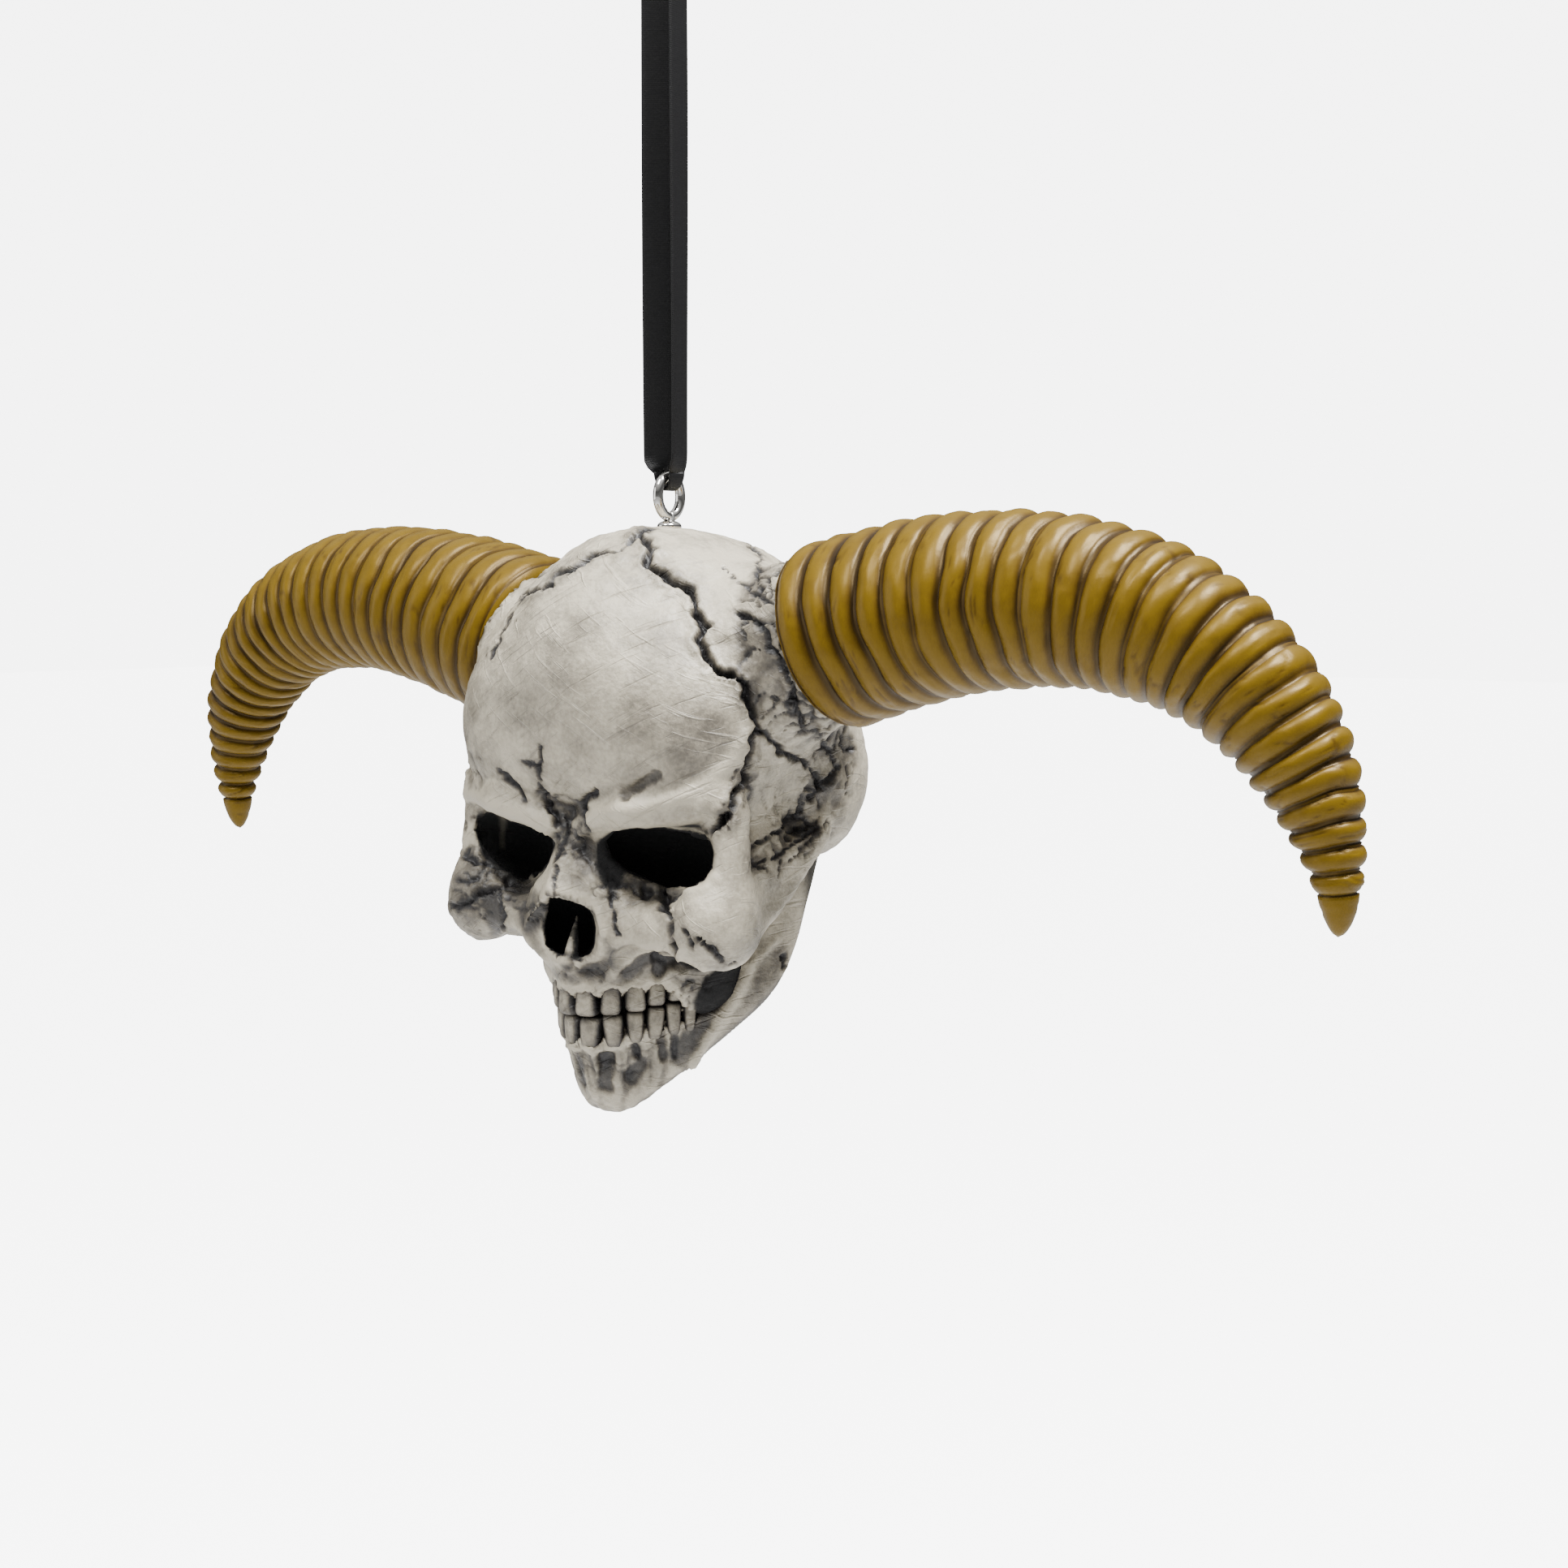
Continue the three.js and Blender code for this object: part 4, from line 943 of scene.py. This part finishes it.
def marks(p, n):
    """What the camera sees marked on the skull, and its mirror image on the side it doesn't see."""
    lift, dark, rough = np.zeros(len(p)), np.zeros(len(p)), np.zeros(len(p))
    jag = np.stack([grain(p, 1.1, seed) + 0.5 * grain(p, 0.5, seed + 1) for seed in (5, 7)], 1)
    ragged = 0.78 + 0.5 * grain(p, 0.8, 9)
    covered = ramp(-(n @ sight), 0.02, 0.2)
    for mirror in (1, -1):
        q, m = p * (mirror, 1, 1), n * (mirror, 1, 1)
        faces = covered if mirror == 1 else ramp(-(m @ sight), 0.02, 0.2) * (1 - covered)
        spots = seen(q)

        def near(line, width, wander):
            places, reach = np.array(line), pixels_per_mm * (3 * width + 1)
            close = (faces > 0) & ((spots > places.min(0) - reach) & (spots < places.max(0) + reach)).all(1)
            away = line_distance(spots[close] + jag[close] * wander, line) / pixels_per_mm / width
            return close, away

        for width, depth, lip, line in cracks:
            close, away = near(line, width, 4.2)
            away = away / ragged[close]
            trench = np.exp(-2.2 * away ** 2)
            lift[close] += faces[close] * (lip * np.exp(-((away - 1.7) / 0.7) ** 2) - depth * trench)
            dark[close] += faces[close] * (1.35 * trench + 0.12 * np.exp(-(away / 2.8) ** 2))
        for width, height, line in ridges:
            close, away = near(line, width, 1.2)
            crest = np.exp(-away ** 2)
            lift[close] += faces[close] * height * crest
            dark[close] -= faces[close] * 0.22 * crest
        for width, depth, shade, line in hollows:
            close, away = near(line, width, 3.0)
            bowl = ramp(away, 1.5, 0.7)
            lift[close] -= faces[close] * depth * bowl
            dark[close] += faces[close] * shade * bowl
        for width, strength, line in scaly:
            close, away = near(line, width, 6.0)
            rough[close] = np.maximum(rough[close], faces[close] * strength * ramp(away, 1.3, 0.6))
    return lift, dark, rough


def scaled(p, rough):
    """Flakes and the fine cracks between them, where the surface is rough."""
    layers = grain(p, (1.6, 0.8, 1.6), 21) + 0.6 * grain(p, 0.7, 22)
    seam = np.abs(grain(p, (2.6, 1.5, 2.0), 23) + 0.45 * grain(p, 0.9, 24))
    seam = ramp(seam, 0.13, 0.02)
    darker = 0.20 + 0.30 * ramp(layers, 0.2, -0.6) + 0.75 * seam
    return rough * (0.30 * layers - 0.5 * seam), rough * darker


def cranium_relief(p, n):
    """The marks, the flakes by the horns and temples, unevenness, painted shade lower down, and black painted in the
    pits and behind the teeth as shade.
    """
    lift, dark, rough = marks(p, n)
    along, aside = horn_measures(p)
    q = mirrored(p)
    collar = ramp(aside, 10.4, 9.2) * ramp(along, -4.8, -2.8)
    temple = ramp(ball(q, [16, 0.5, -28], [4, 7, 4.6]), 1.0, -1.0)
    rough = np.maximum(rough, np.maximum(0.8 * collar, 0.3 * temple))
    up, shade = scaled(p, rough)
    lift += up + 0.18 * grain(p, 4.5, 31) + 0.10 * grain(p, 1.6, 32) + 0.05 * grain(p, 0.7, 33)
    dark += shade + 0.10 * ramp(grain(p, (3.5, 3.5, 2.2), 34), 0.0, 0.9)
    # Painted shade: darker towards the bottom, where less light falls; the temples are made a little paler
    dark += 0.06 * ramp(p[:, 2], -22, -38) - 0.16 * temple + 0.10 * ramp(p[:, 2], -36, -40)
    dark += 0.12 * np.exp(-((p[:, 2] + 18) / 4.5) ** 2) * ramp(p[:, 1], -4, -11)
    # Painted shade: black deep in the eye and nose openings, inside the mouth and on the wall behind the teeth
    pit = ramp(upper_skull(p, holes=False), -0.15, -0.55) * ramp(bar(p, *nose_spine), 0.1, 0.5)
    mouth_shade = ramp(ball(q, [10.6, 0.6, -43.5], [4.6, 6, 4]), 0.6, -0.1)
    face = outside_jaw(q, p[:, 2])
    behind = ramp(face, -0.9, -1.4) * ramp(face, -4.4, -3.4) * ramp(above_bite(p), 3.2, 2.4)
    return lift, dark, np.maximum(np.maximum(pit, behind), mouth_shade)


detailed(upper_skull, (-24, -19, -49.5), (24, 25, 3), 0.312, "cranium_casting", "cranium", cranium_relief)

# Mandible
# The lower jaw: cast in one piece with the skull, its body drawn down to a narrow ridged chin,
# with a branch up each side behind the teeth, painted and washed like the rest.


def jaw_relief(p, n):
    """The marks, the upright streaks that the carving left on the chin, and painted shade: the jaw a little darker,
    black inside it.
    """
    lift, dark, rough = marks(p, n)
    up, shade = scaled(p, 0.6 * rough)
    # The whole jaw is painted a little darker, as shade for its lower place
    lift, dark = lift + up, dark + shade + 0.08
    streaks = grain(p, (0.8, 0.8, 4.0), 41) + 0.5 * grain(p, (0.45, 0.45, 2.0), 42)
    chin = ramp(p[:, 1], -2.0, -7.0)
    lift += chin * 0.16 * streaks + 0.06 * grain(p, 2.4, 43)
    dark += chin * 0.30 * ramp(streaks, 0.1, -0.8) + 0.1 * ramp(grain(p, 3.0, 44), 0.1, 0.9)
    face = outside_jaw(mirrored(p), np.minimum(p[:, 2], jaw_straight))
    # Black painted inside the jaw, behind the teeth, as the shade in the mouth
    return lift, dark, ramp(face, -1.6, -2.6) * 0.9


detailed(lower_jaw, (-16, -16, -58), (16, 12, -28), 0.27, "mandible_casting", "mandible", jaw_relief)

# Teeth
# Twelve flat shield-shaped teeth in each jaw, cast with it, close together with gaps darkened by painted shade, each
# a little unlike the next, pale at its edge and dark where it leaves the gum; their backs and biting ends are painted
# darker as shade too.
tooth_inset, tooth_depth = 0.80, 1.15


def points_of(mesh):
    """The places of a mesh's points."""
    spots = np.zeros(len(mesh.vertices) * 3)
    mesh.vertices.foreach_get("co", spots)
    return spots.reshape(-1, 3)


for name, side, scale, reach, seed in (("upper_teeth", 1, upper_scale, 1.8, 11),
                                       ("lower_teeth", -1, lower_scale, 1.55, 29)):
    draw = np.random.RandomState(seed)
    row = bmesh.new()
    seam = row.verts.layers.float.new("seam")
    for x, y, turn, step in tooth_places(side, scale):
        for hand in (1, -1):
            width, height = step * (0.93 + 0.11 * draw.rand()), 2 * reach * (0.94 + 0.10 * draw.rand())
            cx, cy = hand * (x - tooth_inset * math.sin(turn)), y + tooth_inset * math.cos(turn)
            cz = bite_height + bite_slope * (cy - bite_front) + side * (reach + 0.05)
            made = bmesh.ops.create_cube(row, size=1)["verts"]
            edges = list({edge for vert in made for edge in vert.link_edges})
            bmesh.ops.subdivide_edges(row, edges=edges, cuts=9, use_grid_fill=True)
            lean = 0.22 * (draw.rand() - 0.5)
            for vert in [vert for vert in row.verts if not vert.tag]:
                # The cube swells to a rounded block, narrows to the gum and bulges in front
                u, v, t = vert.co * 2
                t *= side
                edge = (abs(u) ** 5 + abs(v) ** 5 + abs(t) ** 5) ** 0.2
                u, v, t = u / edge, v / edge, t / edge
                narrow = 1 - 0.34 * ((t + 1) / 2) ** 1.5 - 0.05 * max(0.0, -t - 0.6)
                bulge = 0.12 * math.cos(1.4 * u) * (1 - 0.5 * t)
                a, b = u * width / 2 * narrow + lean * t, v * tooth_depth - bulge * (v < 0)
                angle = hand * turn
                vert.co = Vector((cx + a * math.cos(angle) - b * math.sin(angle),
                                  cy + a * math.sin(angle) + b * math.cos(angle),
                                  cz + side * t * height / 2))
                # The seam value is painted shade: darker on the tooth's sides, its back and its biting end
                vert[seam] = abs(u) ** 6 + 0.4 * max(0.0, v) + 0.5 * max(0.0, -t) ** 8
                vert.tag = True
    for face in row.faces:
        face.smooth = True
    bmesh.ops.recalc_face_normals(row, faces=row.faces)
    mesh = meshed(row, name, resin)
    spots = points_of(mesh)
    gap_shade = np.zeros(len(spots))
    mesh.attributes["seam"].data.foreach_get("value", gap_shade)
    gum = ramp(above_bite(spots) * side, 2.0, 3.6)
    wash = 0.16 + 0.45 * gum + 0.12 * grain(spots, 0.8, 51) + 0.9 * gap_shade
    framed(mesh, spots, wash=wash, pit=wash * 0)
    fixed(name, mesh, "bone")

# Horns
# Two ram-type horns in cast resin, each with twenty-six rounded rings and a smooth pointed tip,
# painted ochre over dark brown, which shows in every groove, and glued to the skull's sides.
horn_line = np.array([[0, 0], [14.4, 4.4], [45, 12], [49.1, -15.1], [48.2, -23.2]])
horn_radii = np.array([8.8, 7.54, 5.96, 0.85])
ring_count, tip_length, forward_turn, side_turn = 26, 3.6, math.radians(4.0), math.radians(1.6)


def bezier(points, t):
    row = [np.outer(1 - t, 0 * point) + point for point in points.reshape(len(points), -1)]
    while len(row) > 1:
        row = [a * (1 - t)[:, None] + b * t[:, None] for a, b in zip(row[:-1], row[1:])]
    return row[0]


steps = np.linspace(0, 1, 600)
track = bezier(horn_line, steps)
arc = np.concatenate([[0], np.cumsum(np.linalg.norm(np.diff(track, axis=0), axis=1))])
horn_length = arc[-1]


def thickness(along):
    """The horn's radius so far along it, before its rings."""
    along = np.asarray(along, float)
    slimmer = 1 - 0.16 * ramp(along, horn_length - 14, horn_length - 3)
    return np.interp(np.clip(along, 0, horn_length), arc, bezier(horn_radii, steps)[:, 0]) * slimmer


def middle_at(along):
    """Where the horn's middle line runs, out and up, so far along it."""
    return np.stack([np.interp(np.clip(along, 0, horn_length), arc, track[:, k]) for k in range(2)], 1)


def turned(a, b, angle):
    return a * math.cos(angle) - b * math.sin(angle), a * math.sin(angle) + b * math.cos(angle)


# The paint: ochre, streaked along the grain, darker the deeper the groove
keratin, tree, shader = finish("ochre_horn", {"Roughness": 0.38, "Specular IOR Level": 0.32,
                                              "Specular Tint": (1.0, 0.72, 0.35, 1)})
place = added(tree, "TexCoord")
groove_value = added(tree, "Attribute", attribute_name="groove")
streak = added(tree, "TexNoise", {"Scale": 420.0, "Detail": 7.0, "Roughness": 0.6})
shifted = added(tree, "Math", {1: 0.6, 2: -0.3}, operation="MULTIPLY_ADD")
summed = added(tree, "Math", operation="ADD")
shades = added(tree, "ValToRGB")
shaded(shades.color_ramp, [(0.0, (0.108, 0.065, 0.003)), (0.3, (0.060, 0.033, 0.002)),
                           (0.62, (0.024, 0.012, 0.001)), (1.0, (0.010, 0.005, 0.0015))])
fine = added(tree, "Bump", {"Strength": 0.35, "Distance": 0.00015})
wired(tree, (place, "Object", streak, "Vector"), (streak, "Fac", shifted, 0),
      (shifted, "Value", summed, 0), (groove_value, "Fac", summed, 1),
      (summed, "Value", shades, "Fac"), (shades, "Color", shader, "Base Color"),
      (streak, "Fac", fine, "Height"), (fine, "Normal", shader, "Normal"))

for node, hand, root, seed in (("horn_left", 1, left_root, 61), ("horn_right", -1, right_root, 67)):
    ringed, foot = horn_length - tip_length, -root
    draw = np.random.RandomState(seed)
    profile = [(0.0, foot), (6.0, foot)]
    # Each ring is a little narrower than the one before and has a fine ridge on either side
    shares = [n / ring_count + 0.20 * (n / ring_count) * (1 - n / ring_count) for n in range(ring_count + 1)]
    for low, high in zip(shares[:-1], shares[1:]):
        start, end = foot + low * (ringed - foot), foot + high * (ringed - foot)
        deep, proud = 0.56 + 0.20 * draw.rand(), 0.84 + 0.20 * draw.rand()
        for k in range(14):
            part = k / 14
            along = start + (end - start) * part
            fine_ridge = 0.22 * max(0.0, 1 - min(part, 1 - part) / 0.06)
            rib = math.sin(math.pi * min(1.0, max(0.0, (part - 0.06) / 0.88))) ** 0.5
            height = fine_ridge + (0.10 + deep) * rib * proud - deep
            profile.append((float(thickness(along)) + height, along))
    for k in range(12):
        part = k / 12
        round_off = 0.92 * max(0.0, 1 - part ** 1.6) ** 0.62
        profile.append((float(thickness(ringed)) * round_off, ringed + tip_length * part))
    profile.append((0.0, horn_length))
    turning = bmesh.new()
    line = [turning.verts.new((r, 0, s)) for r, s in profile]
    for a, b in zip(line[:-1], line[1:]):
        turning.edges.new((a, b))
    bmesh.ops.spin(turning, geom=turning.verts[:] + turning.edges[:], axis=(0, 0, 1), cent=(0, 0, 0),
                   angle=2 * math.pi, steps=96, use_merge=True)
    bmesh.ops.remove_doubles(turning, verts=turning.verts, dist=1e-5)
    bmesh.ops.recalc_face_normals(turning, faces=turning.faces)
    for face in turning.faces:
        face.smooth = True
    mesh = meshed(turning, f"{node}_ringed", keratin)
    wide, thick, along = points_of(mesh).T
    radial = np.hypot(wide, thick)
    groove = np.clip((thickness(along) + 0.06 - radial) / 0.66, 0, 1) ** 2.2
    groove *= (along < ringed) & (along > foot + 0.01)
    uneven = np.stack([wide, thick, along * 0.8], 1)
    scored = ramp(np.abs(grain(uneven, (3.6, 3.6, 0.55), seed + 3)), 0.10, 0.0)
    groove += 0.32 * scored * ramp(grain(uneven, 3.0, seed + 4), -0.1, 0.3)
    swell = 0.10 * grain(uneven, 3.0, seed) + 0.06 * grain(uneven, (1.2, 1.2, 0.5), seed + 1)
    keep = ramp(radial, 0.5, 2.0)
    scale = 1 + keep * np.minimum(swell - 0.08 * scored, 0.04) / np.maximum(radial, 0.6)
    free = ramp(along, foot + 0.2, foot + 2) * ramp(horn_length - along, 0.5, 4)
    along = along + 0.34 * grain(uneven, 3.6, seed + 2) * free
    clamped = np.clip(along, 0, horn_length)
    centre, tangent = middle_at(clamped), middle_at(clamped + 0.05) - middle_at(clamped - 0.05)
    tangent /= np.linalg.norm(tangent, axis=1)[:, None]
    beyond = along - clamped
    out = centre[:, 0] + tangent[:, 0] * beyond - tangent[:, 1] * wide * scale
    rise = centre[:, 1] + tangent[:, 1] * beyond + tangent[:, 0] * wide * scale
    y, z = turned(thick * scale, rise, forward_turn)
    x, y = turned(out, y, side_turn)
    placed = (np.stack([x, y, z], 1) + horn_place) * (hand, 1, 1)
    framed(mesh, placed, groove=groove)
    if hand < 0:
        mesh.flip_normals()
    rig.replaces(fixed(f"{node}_ringed", mesh, "horn"), node)

visual_box = [list(map(float, corner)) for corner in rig.bounds()]
with open("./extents.json", "w") as out:
    json.dump({"cad": cad_box, "visual": visual_box}, out)
